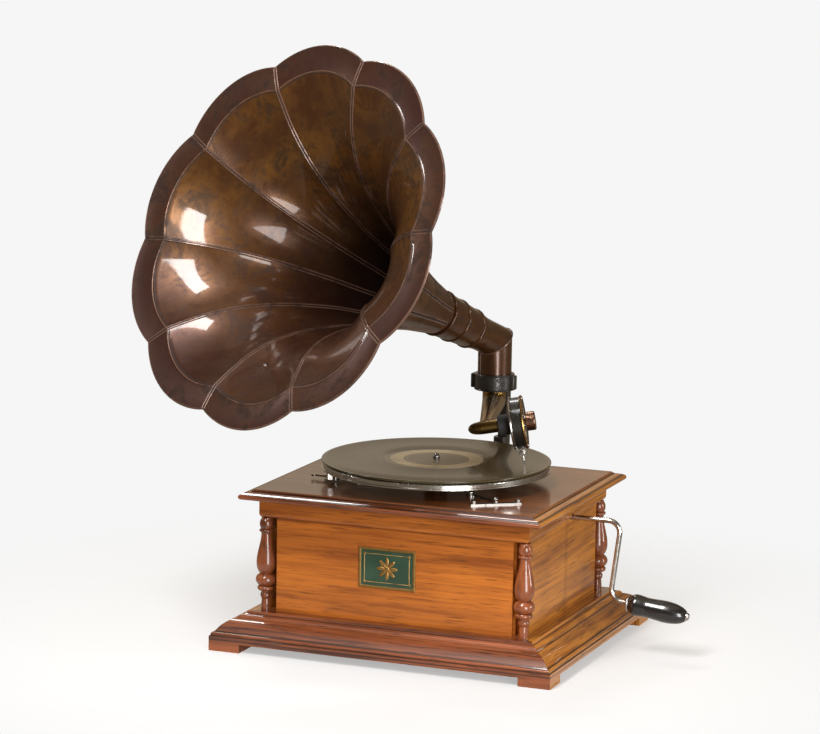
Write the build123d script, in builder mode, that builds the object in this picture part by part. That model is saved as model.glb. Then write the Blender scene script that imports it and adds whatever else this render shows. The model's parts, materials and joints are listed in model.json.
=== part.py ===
from build123d import *
import os
from math import atan2, cos, degrees, hypot, pi, radians, sin

os.makedirs("parts", exist_ok=True)

# Wind-up phonograph with a petal horn.  Millimetres, +Z up, z = 0 is the table.
# The origin is the middle of the whole object's footprint; the cabinet's centre stands beside it.
# +X is the side of the winding crank, -Y is the front of the cabinet.
CABINET_X = 15.26
CABINET_Y = 21.1

# Cabinet
TOP_WIDTH = 347.5
TOP_DEPTH = 293.0
TOP_Z = 175.6
BOARD_INSET = 12.9
BOARD_UNDER_Z = 165.0
NOSE_Z = 168.0
FRIEZE_INSET = 17.7
FRIEZE_BOTTOM_Z = 143.4
PANEL_RECESS = 5.0
PANEL_THICK = 8.0
FRIEZE_THICK = PANEL_RECESS + PANEL_THICK
MITRE_GAP = 0.1
COLUMN_INSET_X = 23.9
COLUMN_INSET_Y = 23.9
COLUMN_GAP = 13.0
PLINTH_SPREAD = 23.1
PLINTH_TOP_Z = 40.6
PLINTH_BOTTOM_Z = 9.5
PLINTH_RUN = 62.0
BASE_BOARD_Z = 28.0
FOOT_X = 36.0
FOOT_Y = 33.0
BADGE_X = -7.0
BADGE_Z = 100.0
BADGE_WIDTH = 66.0
BADGE_HEIGHT = 45.0

# Turntable
RECORD_R = 127.0
RECORD_TOP_Z = 199.6
RECORD_THICK = 2.0
MAT_THICK = 1.0
PLATTER_R = 126.0
PLATTER_PLATE = 3.0
SKIRT_THICK = 2.4
SKIRT_BOTTOM_Z = 189.6
SPINDLE_R = 4.0
PIN_R = 3.55
PIN_NECK_R = 3.3
PIN_TOP_Z = 206.0
RUNNING = 0.05

# Spring motor, hung under the top board
PLATE_THICK = 3.0
MOTOR_PLATE_Z = BOARD_UNDER_Z - PLATE_THICK
LOWER_PLATE_Z = 98.0
MOTOR_X = (-88.0, 138.0)
MOTOR_Y = (-62.0, 78.0)
BARREL_TEETH = 70
PINION_TEETH = 14
WHEEL_TEETH = 40
SPINDLE_TEETH = 12
GEAR_MODULE = 1.5
BARREL_GEAR_Z = 106.0
GEAR_FACE = 6.0
WHEEL_Z = 139.0
WHEEL_FACE = 4.0
BARREL_R = 45.0
BARREL_TOP_Z = 130.0
WORM_TEETH = 24
WORM_STARTS = 2
WORM_MODULE = 1.25
WORM_Z = 118.0
WORM_PITCH_R = 4.6
CROWN_TEETH = 32
CRANK_TEETH = 8

# Crank
CRANK_Y = 13.3
CRANK_Z = 146.0
CRANK_ROD_R = 2.9
CRANK_SOCKET_X = 124.0
CRANK_ARM_X = 212.0
CRANK_DROP = 88.0
CRANK_TILT = 7.0
CRANK_BEND_R = 13.0
GRIP_START = 23.0
GRIP_LENGTH = 64.5

# Horn, its elbow and the casting behind the cabinet
PIVOT_Y = 182.0
ELBOW_Z = 305.0
HORN_YAW = 20.6
HORN_PITCH = 23.5
HORN_LENGTH = 380.0
PETALS = 10
FIRST_RIB = 7.0
PETAL_TIP_R = 215.0
PETAL_CUSP_R = 203.0
FLANGE_RISE = 2.0
SHEET = 1.2
FLARE = [(178, 0), (144, 20), (120, 40), (103, 60), (84, 90), (69, 120), (57, 150), (49, 176),
         (34, 228), (25, 270)]
PIPE_R = 19.5
PIPE_BOTTOM_Z = 258.4
COLLAR_R = 22.5
COLLAR_Z = (249.0, 268.0)
LIP_Z = 254.6
ARM_THICK = 10.0
ARM_X = 4.0
BOSS_WIDTH = 15.0
BOSS_Z = (174.0, 191.0)

# Tonearm and sound box
ARM_Z = 235.0
ARM_YAW = 17.2
ARM_LENGTH = 193.0
ARM_RISE = 5.0
ARM_ROOT_R = 13.4
ARM_TIP_R = 6.4
ARM_WALL = 1.4
BOX_TILT = 10.0
BOX_REACH = 37.0
BOX_R = 29.0
BOX_THICK = 15.0
SOUND_BORE = 4.4
SPIGOT_R = 6.4
SPIGOT_END = 22.0
NEEDLE_GAP = 0.08


def spot(x, y, z):
    """A point given from the cabinet's centre on the table."""
    return (CABINET_X + x, CABINET_Y + y, z)


def level(z, x=0, y=0):
    """A horizontal sketch plane."""
    return Plane(origin=spot(x, y, z))


def upright(x=0, y=0, turn=0):
    """A vertical sketch plane through (x, y): local x is radial at this turn, local y is height."""
    radial = (cos(radians(turn)), sin(radians(turn)), 0)
    return Plane(origin=spot(x, y, 0), x_dir=radial, z_dir=(radial[1], -radial[0], 0))


def post(x, y):
    """The vertical axis through (x, y)."""
    return Axis(spot(x, y, 0), (0, 0, 1))


def save(part, label):
    """Name a finished piece and write it."""
    part.label = label
    export_step(part, "parts/" + label + ".step")


def bead(start, end, radius):
    """A rounded stretch of a turned outline from start to end that swells to a radius."""
    middle = (radius, (start[1] + end[1]) / 2)
    ThreePointArc(start, middle, end)


def mitred_frame(half_x, half_y, outline):
    """Four mitred lengths of moulding, as four solids; outline draws (inset, height) points."""
    for turn, run, other in ((0, half_x, half_y), (90, half_y, half_x), (180, half_x, half_y),
                             (270, half_y, half_x)):
        with BuildPart(mode=Mode.PRIVATE) as length:
            face = Plane(origin=(0, -other, 0), x_dir=(0, 1, 0), z_dir=(1, 0, 0))
            with BuildSketch(face):
                with BuildLine():
                    outline()
                make_face()
            extrude(amount=run, both=True)
            gap = MITRE_GAP / 2
            split(bisect_by=Plane(origin=(run, -other - gap, 0), z_dir=(1, 1, 0)),
                  keep=Keep.BOTTOM)
            split(bisect_by=Plane(origin=(-run, -other - gap, 0), z_dir=(-1, 1, 0)),
                  keep=Keep.BOTTOM)
        add(length.part.rotate(Axis.Z, turn).moved(Location(spot(0, 0, 0))))


def toothed(teeth, module, phase, tooth=0.32, depth=1.0):
    """A spur gear's outline: thin teeth, one of them centred on the phase angle."""
    pitch_r = teeth * module / 2
    pitch = pi * module
    root = pitch_r - 1.15 * module * depth
    crest = pitch_r + 0.85 * module * depth
    Circle(root)
    with PolarLocations(0, teeth, start_angle=phase):
        Polygon((root - 0.4, -tooth * pitch * 0.7), (crest, -tooth * pitch * 0.3),
                (crest, tooth * pitch * 0.3), (root - 0.4, tooth * pitch * 0.7), align=None)


# ---------------------------------------------------------------- cabinet
half_w = TOP_WIDTH / 2
half_d = TOP_DEPTH / 2
frieze_x = half_w - FRIEZE_INSET
frieze_y = half_d - FRIEZE_INSET
panel_x = frieze_x - PANEL_RECESS
panel_y = frieze_y - PANEL_RECESS
column_x = half_w - COLUMN_INSET_X
column_y = half_d - COLUMN_INSET_Y
plinth_x = half_w + PLINTH_SPREAD
plinth_y = half_d + PLINTH_SPREAD

with BuildPart() as top_board:
    with BuildSketch(level(BOARD_UNDER_Z)):
        Rectangle(TOP_WIDTH - 2 * BOARD_INSET, TOP_DEPTH - 2 * BOARD_INSET)
        Circle(SPINDLE_R + 1.5, mode=Mode.SUBTRACT)
    extrude(amount=TOP_Z - BOARD_UNDER_Z)
    chamfer(top_board.faces().sort_by(Axis.Z)[-1].outer_wire().edges(), length=0.6)
save(top_board.part, "top_board")


def top_moulding_outline():
    """Step, cove and big round nose, from the board's edge outwards."""
    lip = TOP_Z - 1.2
    shoulder = (10.5, TOP_Z - 2.8)
    throat = (2.4, NOSE_Z + 3.0)
    under = (2.4, BOARD_UNDER_Z)
    Polyline((BOARD_INSET, BOARD_UNDER_Z), (BOARD_INSET, lip), (11.8, lip), shoulder)
    ThreePointArc(shoulder, (5.2, NOSE_Z + 4.2), throat)
    ThreePointArc(throat, (0, NOSE_Z), under)
    Line(under, (BOARD_INSET, BOARD_UNDER_Z))


with BuildPart() as top_moulding:
    mitred_frame(half_w, half_d, top_moulding_outline)
save(top_moulding.part, "top_moulding")


def frieze_outline():
    """A flat rail with a rounded lower edge."""
    soft = 5.0
    Polyline((0, FRIEZE_BOTTOM_Z + soft), (0, BOARD_UNDER_Z), (FRIEZE_THICK, BOARD_UNDER_Z),
             (FRIEZE_THICK, FRIEZE_BOTTOM_Z), (soft, FRIEZE_BOTTOM_Z))
    RadiusArc((soft, FRIEZE_BOTTOM_Z), (0, FRIEZE_BOTTOM_Z + soft), soft)


crank_side = Plane(origin=spot(panel_x + 10, CRANK_Y, CRANK_Z), z_dir=(-1, 0, 0))


def crank_hole():
    """A clear hole for the crank through the right-hand side."""
    with BuildSketch(crank_side) as hole:
        Circle(CRANK_ROD_R + 1.0)
    extrude(hole.sketch, amount=30, mode=Mode.SUBTRACT)


with BuildPart() as frieze:
    mitred_frame(frieze_x, frieze_y, frieze_outline)
    crank_hole()
save(frieze.part, "frieze")

front_run = 2 * (column_x - COLUMN_GAP)
side_run = 2 * (column_y - COLUMN_GAP)
panel_height = BOARD_UNDER_Z - PLINTH_TOP_Z


def flat_panel(x, y, size_x, size_y):
    """One upright panel between two columns, up to the frieze rail."""
    with BuildSketch(level(PLINTH_TOP_Z, x, y)) as footprint:
        Rectangle(size_x, size_y)
    extrude(footprint.sketch, amount=FRIEZE_BOTTOM_Z - PLINTH_TOP_Z)


with BuildPart() as front_panel:
    flat_panel(0, -panel_y + PANEL_THICK / 2, front_run, PANEL_THICK)
save(front_panel.part, "front_panel")

with BuildPart() as back_panel:
    flat_panel(0, panel_y - PANEL_THICK / 2, front_run, PANEL_THICK)
save(back_panel.part, "back_panel")

with BuildPart() as left_panel:
    flat_panel(-panel_x + PANEL_THICK / 2, 0, PANEL_THICK, side_run)
save(left_panel.part, "left_panel")

with BuildPart() as right_panel:
    flat_panel(panel_x - PANEL_THICK / 2, 0, PANEL_THICK, side_run)
    crank_hole()
save(right_panel.part, "right_panel")

with BuildPart() as corner_posts:
    notch_x = column_x - COLUMN_GAP
    notch_y = column_y - COLUMN_GAP
    inner_x = panel_x - PANEL_THICK
    inner_y = panel_y - PANEL_THICK
    for sx in (-1, 1):
        for sy in (-1, 1):
            with BuildSketch(level(PLINTH_TOP_Z)):
                Polygon((sx * (notch_x - 10), sy * inner_y), (sx * notch_x, sy * inner_y),
                        (sx * notch_x, sy * notch_y), (sx * inner_x, sy * notch_y),
                        (sx * inner_x, sy * (notch_y - 10)),
                        (sx * (notch_x - 10), sy * (notch_y - 10)), align=None)
            extrude(amount=panel_height)
save(corner_posts.part, "corner_posts")


def column_outline():
    """A turned baluster's half outline, from its foot to its top."""
    Polyline((4.6, 53), (5.2, 47), (5.2, PLINTH_TOP_Z), (0, PLINTH_TOP_Z),
             (0, FRIEZE_BOTTOM_Z), (5.6, FRIEZE_BOTTOM_Z), (5.6, 142.2))
    bead((5.6, 142.2), (5.8, 130.6), 7.5)
    bead((5.8, 130.6), (5.8, 127.2), 7.8)
    Line((5.8, 127.2), (5.6, 125.4))
    Spline((5.6, 125.4), (7.4, 113), (10.6, 96), (9.6, 86), (6.6, 81))
    bead((6.6, 81), (7.0, 67.8), 11.3)
    bead((7.0, 67.8), (5.0, 62.4), 9.5)
    Line((5.0, 62.4), (4.9, 60.2))
    bead((4.9, 60.2), (4.6, 53), 6.2)


for end, sy in (("front", -1), ("back", 1)):
    for side, sx in (("left", -1), ("right", 1)):
        with BuildPart() as column:
            with BuildSketch(upright(sx * column_x, sy * column_y)):
                with BuildLine():
                    column_outline()
                make_face()
            revolve(axis=post(sx * column_x, sy * column_y))
        save(column.part, "column_" + end + "_" + side)


def plinth_outline():
    """Fascia, small bead, big convex sweep, groove and top bead, from the nose inwards."""
    Polyline((PLINTH_RUN, PLINTH_TOP_Z), (PLINTH_RUN, BASE_BOARD_Z), (12, BASE_BOARD_Z - 10),
             (12, PLINTH_BOTTOM_Z),
             (0, PLINTH_BOTTOM_Z), (0, 16.2), (1.6, 17.2))
    ThreePointArc((1.6, 17.2), (2.2, 19.6), (4.6, 20.2))
    Line((4.6, 20.2), (5.2, 21.2))
    ThreePointArc((5.2, 21.2), (11.6, 28.3), (21.2, 33.2))
    Polyline((21.2, 33.2), (22.4, 32.4), (24.0, 33.8))
    ThreePointArc((24.0, 33.8), (26.2, 36.8), (29.6, 37.0))
    Polyline((29.6, 37.0), (31.4, 37.8), (31.6, PLINTH_TOP_Z), (PLINTH_RUN, PLINTH_TOP_Z))


with BuildPart() as plinth:
    mitred_frame(plinth_x, plinth_y, plinth_outline)
save(plinth.part, "plinth")

with BuildPart() as bottom_board:
    with BuildSketch(level(BASE_BOARD_Z)):
        Rectangle(2 * (plinth_x - PLINTH_RUN), 2 * (plinth_y - PLINTH_RUN))
    extrude(amount=PLINTH_TOP_Z - BASE_BOARD_Z)
save(bottom_board.part, "bottom_board")

with BuildPart() as feet:
    with BuildSketch(level(0)):
        with GridLocations(2 * plinth_x - FOOT_X, 2 * plinth_y - FOOT_Y, 2, 2):
            Rectangle(FOOT_X, FOOT_Y)
    extrude(amount=PLINTH_BOTTOM_Z)
save(feet.part, "feet")

badge_plane = Plane(origin=spot(BADGE_X, -panel_y, BADGE_Z), x_dir=(1, 0, 0), z_dir=(0, -1, 0))
badge_border = 3.0
with BuildPart() as badge_frame:
    with BuildSketch(badge_plane):
        Rectangle(BADGE_WIDTH, BADGE_HEIGHT)
        Rectangle(BADGE_WIDTH - 2 * badge_border, BADGE_HEIGHT - 2 * badge_border,
                  mode=Mode.SUBTRACT)
    extrude(amount=1.8)
    chamfer(badge_frame.faces().sort_by(Axis.Y)[0].edges(), length=0.6)
save(badge_frame.part, "badge_frame")

with BuildPart() as badge_plate:
    with BuildSketch(badge_plane):
        Rectangle(BADGE_WIDTH - 2 * badge_border, BADGE_HEIGHT - 2 * badge_border)
    extrude(amount=0.9)
save(badge_plate.part, "badge_plate")

# ---------------------------------------------------------------- spring motor
barrel_x = 75.0
barrel_y = CRANK_Y
barrel_gear_r = BARREL_TEETH * GEAR_MODULE / 2
pinion_r = PINION_TEETH * GEAR_MODULE / 2
wheel_r = WHEEL_TEETH * GEAR_MODULE / 2
spindle_gear_r = SPINDLE_TEETH * GEAR_MODULE / 2
first_reach = wheel_r + spindle_gear_r
second_reach = barrel_gear_r + pinion_r
barrel_reach = hypot(barrel_x, barrel_y)
along = (first_reach ** 2 - second_reach ** 2 + barrel_reach ** 2) / (2 * barrel_reach)
across = (first_reach ** 2 - along ** 2) ** 0.5
ux = barrel_x / barrel_reach
uy = barrel_y / barrel_reach
layshaft_x = along * ux + across * uy
layshaft_y = along * uy - across * ux
to_layshaft = degrees(atan2(layshaft_y, layshaft_x))
barrel_to_layshaft = degrees(atan2(layshaft_y - barrel_y, layshaft_x - barrel_x))
worm_wheel_r = WORM_TEETH * WORM_MODULE / 2
governor_y = -(worm_wheel_r + WORM_PITCH_R)
arbor_r = 4.0
journal_r = 2.5
motor_mid_x = (MOTOR_X[0] + MOTOR_X[1]) / 2
motor_mid_y = (MOTOR_Y[0] + MOTOR_Y[1]) / 2
motor_size_x = MOTOR_X[1] - MOTOR_X[0]
motor_size_y = MOTOR_Y[1] - MOTOR_Y[0]


def bearing_holes():
    """Holes for the spindle, the layshaft and the barrel arbor."""
    Circle(SPINDLE_R + RUNNING, mode=Mode.SUBTRACT)
    with Locations((layshaft_x, layshaft_y)):
        Circle(journal_r + RUNNING, mode=Mode.SUBTRACT)
    with Locations((barrel_x, barrel_y)):
        Circle(arbor_r + RUNNING, mode=Mode.SUBTRACT)


with BuildPart() as motor_plates:
    for plate_z in (MOTOR_PLATE_Z, LOWER_PLATE_Z):
        with BuildSketch(level(plate_z)):
            with Locations((motor_mid_x, motor_mid_y)):
                RectangleRounded(motor_size_x, motor_size_y, 12)
            bearing_holes()
        extrude(amount=PLATE_THICK)
save(motor_plates.part, "motor_plates")

with BuildPart() as motor_pillars:
    with BuildSketch(level(LOWER_PLATE_Z + PLATE_THICK, motor_mid_x, motor_mid_y)):
        with GridLocations(motor_size_x - 24, motor_size_y - 24, 2, 2):
            Circle(5)
    extrude(amount=MOTOR_PLATE_Z - LOWER_PLATE_Z - PLATE_THICK)
save(motor_pillars.part, "motor_pillars")

barrel_wall = 2.0
barrel_floor = BARREL_GEAR_Z + GEAR_FACE
with BuildPart() as spring_barrel:
    with BuildSketch(level(BARREL_GEAR_Z, barrel_x, barrel_y)):
        toothed(BARREL_TEETH, GEAR_MODULE, barrel_to_layshaft)
    extrude(amount=GEAR_FACE)
    with BuildSketch(level(barrel_floor, barrel_x, barrel_y)):
        Circle(BARREL_R)
        Circle(BARREL_R - barrel_wall, mode=Mode.SUBTRACT)
    extrude(amount=BARREL_TOP_Z - barrel_floor)
    with BuildSketch(level(BARREL_GEAR_Z, barrel_x, barrel_y)):
        Circle(arbor_r + RUNNING)
    extrude(amount=GEAR_FACE, mode=Mode.SUBTRACT)
    with BuildSketch(level(BARREL_TOP_Z, barrel_x, barrel_y)):
        Circle(BARREL_R)
        Circle(arbor_r + RUNNING, mode=Mode.SUBTRACT)
    extrude(amount=1.5)
save(spring_barrel.part, "spring_barrel")

spring_turns = 6
spring_strip = 0.8
with BuildPart() as mainspring:
    with BuildSketch(level(barrel_floor + 1, barrel_x, barrel_y)):
        for turn in range(spring_turns):
            coil_r = BARREL_R - barrel_wall - 0.5 - 2.4 * turn
            Circle(coil_r)
            Circle(coil_r - spring_strip, mode=Mode.SUBTRACT)
            if turn < spring_turns - 1:
                with PolarLocations(coil_r - 1.6, 1, start_angle=60 * turn):
                    Rectangle(2.4, 2.0)
    extrude(amount=BARREL_TOP_Z - barrel_floor - 2)
save(mainspring.part, "mainspring")

crown_r = CROWN_TEETH * GEAR_MODULE / 2
crank_gear_r = CRANK_TEETH * GEAR_MODULE / 2
crown_pitch_z = CRANK_Z - crank_gear_r
crown_face = 5.0
crown_disc_z = crown_pitch_z - 1.7 - 2.0
with BuildPart() as winding_arbor:
    with BuildSketch(level(LOWER_PLATE_Z, barrel_x, barrel_y)):
        Circle(arbor_r)
    extrude(amount=MOTOR_PLATE_Z + PLATE_THICK - LOWER_PLATE_Z - 0.2)
    with BuildSketch(level(crown_disc_z, barrel_x, barrel_y)):
        Circle(crown_r + crown_face / 2)
    extrude(amount=2.0)
    with BuildSketch(level(crown_disc_z + 2.0, barrel_x, barrel_y)):
        with PolarLocations(crown_r, CROWN_TEETH, start_angle=360 / CROWN_TEETH / 2):
            Rectangle(crown_face, GEAR_MODULE * pi * 0.3)
    extrude(amount=2.6)
save(winding_arbor.part, "winding_arbor")

crank_gear_x = barrel_x + crown_r
with BuildPart() as winding_shaft:
    with BuildSketch(Plane(origin=spot(crank_gear_x - crown_face / 2, CRANK_Y, CRANK_Z),
                           x_dir=(0, 0, -1), z_dir=(1, 0, 0))):
        toothed(CRANK_TEETH, GEAR_MODULE, 0, tooth=0.26, depth=0.8)
    extrude(amount=crown_face)
    with BuildSketch(Plane(origin=spot(crank_gear_x, CRANK_Y, CRANK_Z), z_dir=(1, 0, 0))):
        Circle(5.0)
    extrude(amount=CRANK_SOCKET_X + 12 - crank_gear_x)
    with BuildSketch(Plane(origin=spot(CRANK_SOCKET_X, CRANK_Y, CRANK_Z), z_dir=(1, 0, 0))):
        Circle(CRANK_ROD_R + 0.03)
    extrude(amount=14, mode=Mode.SUBTRACT)
save(winding_shaft.part, "winding_shaft")

with BuildPart() as layshaft:
    with BuildSketch(level(LOWER_PLATE_Z, layshaft_x, layshaft_y)):
        Circle(journal_r)
    extrude(amount=MOTOR_PLATE_Z + PLATE_THICK - LOWER_PLATE_Z - 0.2)
    with BuildSketch(level(BARREL_GEAR_Z, layshaft_x, layshaft_y)):
        toothed(PINION_TEETH, GEAR_MODULE, barrel_to_layshaft + 180 + 180 / PINION_TEETH)
    extrude(amount=GEAR_FACE)
    with BuildSketch(level(WHEEL_Z, layshaft_x, layshaft_y)):
        toothed(WHEEL_TEETH, GEAR_MODULE, to_layshaft + 180)
    extrude(amount=WHEEL_FACE)
save(layshaft.part, "layshaft")

mat_z = RECORD_TOP_Z - RECORD_THICK - MAT_THICK
hub_collar_z = 178.5
with BuildPart() as spindle:
    with BuildSketch(upright()):
        with BuildLine():
            Polyline((0, LOWER_PLATE_Z), (SPINDLE_R, LOWER_PLATE_Z), (SPINDLE_R, hub_collar_z - 2),
                     (8, hub_collar_z - 2), (8, hub_collar_z), (SPINDLE_R, hub_collar_z),
                     (SPINDLE_R, mat_z - 0.4), (PIN_NECK_R, mat_z - 0.4),
                     (PIN_NECK_R, RECORD_TOP_Z + 0.2), (PIN_R, RECORD_TOP_Z + 0.2),
                     (PIN_R, PIN_TOP_Z - PIN_R))
            ThreePointArc((PIN_R, PIN_TOP_Z - PIN_R),
                          (PIN_R * cos(pi / 4), PIN_TOP_Z - PIN_R + PIN_R * sin(pi / 4)),
                          (0, PIN_TOP_Z))
            Line((0, PIN_TOP_Z), (0, LOWER_PLATE_Z))
        make_face()
    revolve(axis=post(0, 0))
    with BuildSketch(level(WHEEL_Z - 1)):
        toothed(SPINDLE_TEETH, GEAR_MODULE, to_layshaft + 180 / SPINDLE_TEETH)
    extrude(amount=WHEEL_FACE + 2)
    with BuildSketch(level(WORM_Z - 1.5)):
        toothed(WORM_TEETH, WORM_MODULE, -90, tooth=0.25, depth=0.7)
    extrude(amount=3)
save(spindle.part, "spindle")

worm_pitch = pi * WORM_MODULE
worm_lead = worm_pitch * WORM_STARTS
worm_length = 16.0
governor_left = -76.0
governor_right = 15.0
governor_bore = 1.5
governor_plane = Plane(origin=spot(governor_left, governor_y, WORM_Z), x_dir=(0, 1, 0),
                       z_dir=(1, 0, 0))
worm_end = Vector(*spot(-1.5 * worm_pitch, governor_y, WORM_Z))
worm_axis = Axis(worm_end, (1, 0, 0))
with BuildPart() as thread:
    with BuildLine() as thread_path:
        Helix(worm_lead, 3 * worm_pitch, WORM_PITCH_R - 1.0, center=worm_end, direction=(1, 0, 0))
    thread_start = thread_path.line @ 0
    outward = thread_start - worm_end
    with BuildSketch(Plane(origin=thread_start, x_dir=outward, z_dir=thread_path.line % 0)):
        Polygon((-0.2, -0.55), (1.5, -0.3), (1.5, 0.3), (-0.2, 0.55), align=None)
    sweep(path=thread_path.line, is_frenet=True)
thread_turn = degrees(atan2(outward.Z, outward.Y))
with BuildPart() as governor_shaft:
    with BuildSketch(governor_plane):
        Circle(governor_bore)
    extrude(amount=governor_right - governor_left)
    with BuildSketch(governor_plane.offset(-governor_left - worm_length / 2)):
        Circle(WORM_PITCH_R - 0.9)
    extrude(amount=worm_length)
    for start in range(WORM_STARTS):
        add(thread.part.rotate(worm_axis, 360 / WORM_STARTS * start - thread_turn))
save(governor_shaft.part, "governor_shaft")

ball_x = (-66.0, -40.0)
ball_reach = 12.0
with BuildPart() as governor_weights:
    for hub_x in ball_x:
        with BuildSketch(governor_plane.offset(hub_x - governor_left - 2)):
            Circle(5)
            Circle(governor_bore + 0.02, mode=Mode.SUBTRACT)
        extrude(amount=4)
    for turn in range(3):
        around = radians(120 * turn)
        ball_mid = (ball_x[0] + ball_x[1]) / 2
        side = (ball_reach * cos(around), ball_reach * sin(around))
        with Locations(Location(spot(ball_mid, governor_y + side[0], WORM_Z + side[1]))):
            Sphere(4.5)
        for hub_x in ball_x:
            hub_point = spot(hub_x, governor_y + 4.2 * cos(around), WORM_Z + 4.2 * sin(around))
            ball_point = spot(ball_mid, governor_y + side[0], WORM_Z + side[1])
            with BuildLine() as leaf:
                Line(hub_point, ball_point)
            with BuildSketch(Plane(origin=hub_point, z_dir=leaf.line % 0)):
                Circle(0.7)
            sweep(path=leaf.line)
    with BuildSketch(governor_plane.offset(4.5)):
        Circle(9)
        Circle(governor_bore + 0.02, mode=Mode.SUBTRACT)
    extrude(amount=3)
save(governor_weights.part, "governor_weights")

bearing_x = 108.0
with BuildPart() as motor_brackets:
    with BuildSketch(Plane(origin=spot(bearing_x, CRANK_Y, CRANK_Z), x_dir=(0, 1, 0),
                           z_dir=(1, 0, 0))):
        with Locations((0, (MOTOR_PLATE_Z - CRANK_Z - 9) / 2)):
            Rectangle(20, MOTOR_PLATE_Z - CRANK_Z + 9)
        Circle(5.0 + RUNNING, mode=Mode.SUBTRACT)
    extrude(amount=8)
    for bracket_x in (governor_left - 1, governor_right - 3):
        stand = WORM_Z - LOWER_PLATE_Z - PLATE_THICK
        with BuildSketch(Plane(origin=spot(bracket_x, governor_y, WORM_Z), x_dir=(0, 1, 0),
                               z_dir=(1, 0, 0))):
            with Locations((0, 5)):
                Rectangle(9, stand + 5, align=(Align.CENTER, Align.MAX))
            Circle(governor_bore + RUNNING, mode=Mode.SUBTRACT)
        extrude(amount=3)
save(motor_brackets.part, "motor_brackets")

# ---------------------------------------------------------------- turntable
with BuildPart() as platter:
    with BuildSketch(upright()):
        with BuildLine():
            Polyline((SPINDLE_R + 0.02, hub_collar_z), (11, hub_collar_z),
                     (13, mat_z - PLATTER_PLATE), (PLATTER_R - SKIRT_THICK - 3,
                                                   mat_z - PLATTER_PLATE),
                     (PLATTER_R - SKIRT_THICK, mat_z - PLATTER_PLATE - 2),
                     (PLATTER_R - SKIRT_THICK, SKIRT_BOTTOM_Z), (PLATTER_R + 0.8, SKIRT_BOTTOM_Z),
                     (PLATTER_R + 0.8, SKIRT_BOTTOM_Z + 1.4), (PLATTER_R - 0.4,
                                                               SKIRT_BOTTOM_Z + 1.8),
                     (PLATTER_R - 0.4, mat_z - 2))
            RadiusArc((PLATTER_R - 0.4, mat_z - 2), (PLATTER_R - 2.4, mat_z), -2)
            Polyline((PLATTER_R - 2.4, mat_z), (SPINDLE_R + 0.02, mat_z),
                     (SPINDLE_R + 0.02, hub_collar_z))
        make_face()
    revolve(axis=post(0, 0))
save(platter.part, "platter")

with BuildPart() as felt_mat:
    with BuildSketch(level(mat_z)):
        Circle(PLATTER_R - 3)
        Circle(PIN_R + 1, mode=Mode.SUBTRACT)
    extrude(amount=MAT_THICK)
save(felt_mat.part, "felt_mat")

with BuildPart() as record:
    with BuildSketch(level(mat_z + MAT_THICK)):
        Circle(RECORD_R)
        Circle(PIN_R + 0.05, mode=Mode.SUBTRACT)
    extrude(amount=RECORD_THICK)
    fillet(record.edges().filter_by(GeomType.CIRCLE).sort_by(SortBy.RADIUS)[-2:], radius=0.8)
save(record.part, "record")

# ---------------------------------------------------------------- brake and speed lever
brake_x = -99.3
brake_y = -51.7
brake_turn = 176.0
brake_pad_turn = 215.0
pad_drop = 17.0
with BuildPart() as brake_base:
    with BuildSketch(level(TOP_Z, brake_x + 10, brake_y + 2)):
        SlotOverall(44, 13, rotation=12)
    extrude(amount=1.6)
    with BuildSketch(level(TOP_Z + 1.6, brake_x, brake_y)):
        Circle(4.5)
    extrude(amount=1.0)
    with BuildSketch(level(TOP_Z + 2.6, brake_x, brake_y)):
        Circle(2.0)
    extrude(amount=4.2)
    with BuildSketch(level(TOP_Z + 1.6, brake_x, brake_y)):
        with Locations((13, 2.8), (25, 5.4)):
            Circle(2.4)
    extrude(amount=1.2)
save(brake_base.part, "brake_base")

with BuildPart() as brake_lever:
    with BuildSketch(level(TOP_Z + 2.8, brake_x, brake_y)):
        Circle(4.2)
        with Locations(Location((0, 0), brake_turn)):
            with Locations((13, 0)):
                Rectangle(26, 3.4)
            with Locations((26, 0)):
                Circle(3.2)
        with Locations((0, -pad_drop / 2)):
            Rectangle(3.4, pad_drop)
        Circle(2.0 + RUNNING, mode=Mode.SUBTRACT)
    extrude(amount=2.2)
    with BuildSketch(level(TOP_Z + 5.0, brake_x, brake_y)):
        with Locations(Location((0.3, -pad_drop), brake_pad_turn)):
            Rectangle(5, 8)
    extrude(amount=11.0)
save(brake_lever.part, "brake_lever")

speed_x = 104.7
speed_y = -94.0
speed_turn = 34.8
lever_x = 65.0
lever_y = -64.5
with BuildPart() as speed_scale:
    with BuildSketch(level(TOP_Z, speed_x, speed_y)):
        Rectangle(56, 7, rotation=speed_turn)
    extrude(amount=1.6)
    with BuildSketch(level(TOP_Z + 1.6, speed_x, speed_y)):
        with Locations(Location((0, 0), speed_turn)):
            with Locations((-24.5, 0), (24.5, 0)):
                Circle(3.0)
    extrude(amount=3.4)
    with BuildSketch(level(TOP_Z, lever_x, lever_y)):
        Circle(4.6)
    extrude(amount=1.8)
    with BuildSketch(level(TOP_Z + 1.8, lever_x, lever_y)):
        Circle(2.0)
    extrude(amount=3.6)
save(speed_scale.part, "speed_scale")

lever_turn = degrees(atan2(speed_y - lever_y, speed_x - lever_x))
lever_reach = hypot(speed_y - lever_y, speed_x - lever_x)
with BuildPart() as speed_lever:
    with BuildSketch(level(TOP_Z + 2.0, lever_x, lever_y)):
        Circle(4.2)
        with Locations(Location((0, 0), lever_turn)):
            with Locations((lever_reach / 2, 0)):
                Rectangle(lever_reach, 3.2)
            with Locations((lever_reach, 0)):
                Circle(2.8)
        Circle(2.0 + RUNNING, mode=Mode.SUBTRACT)
    extrude(amount=1.8)
    with BuildSketch(level(TOP_Z + 3.8, speed_x, speed_y)):
        Circle(2.2)
    extrude(amount=3.4)
save(speed_lever.part, "speed_lever")

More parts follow.
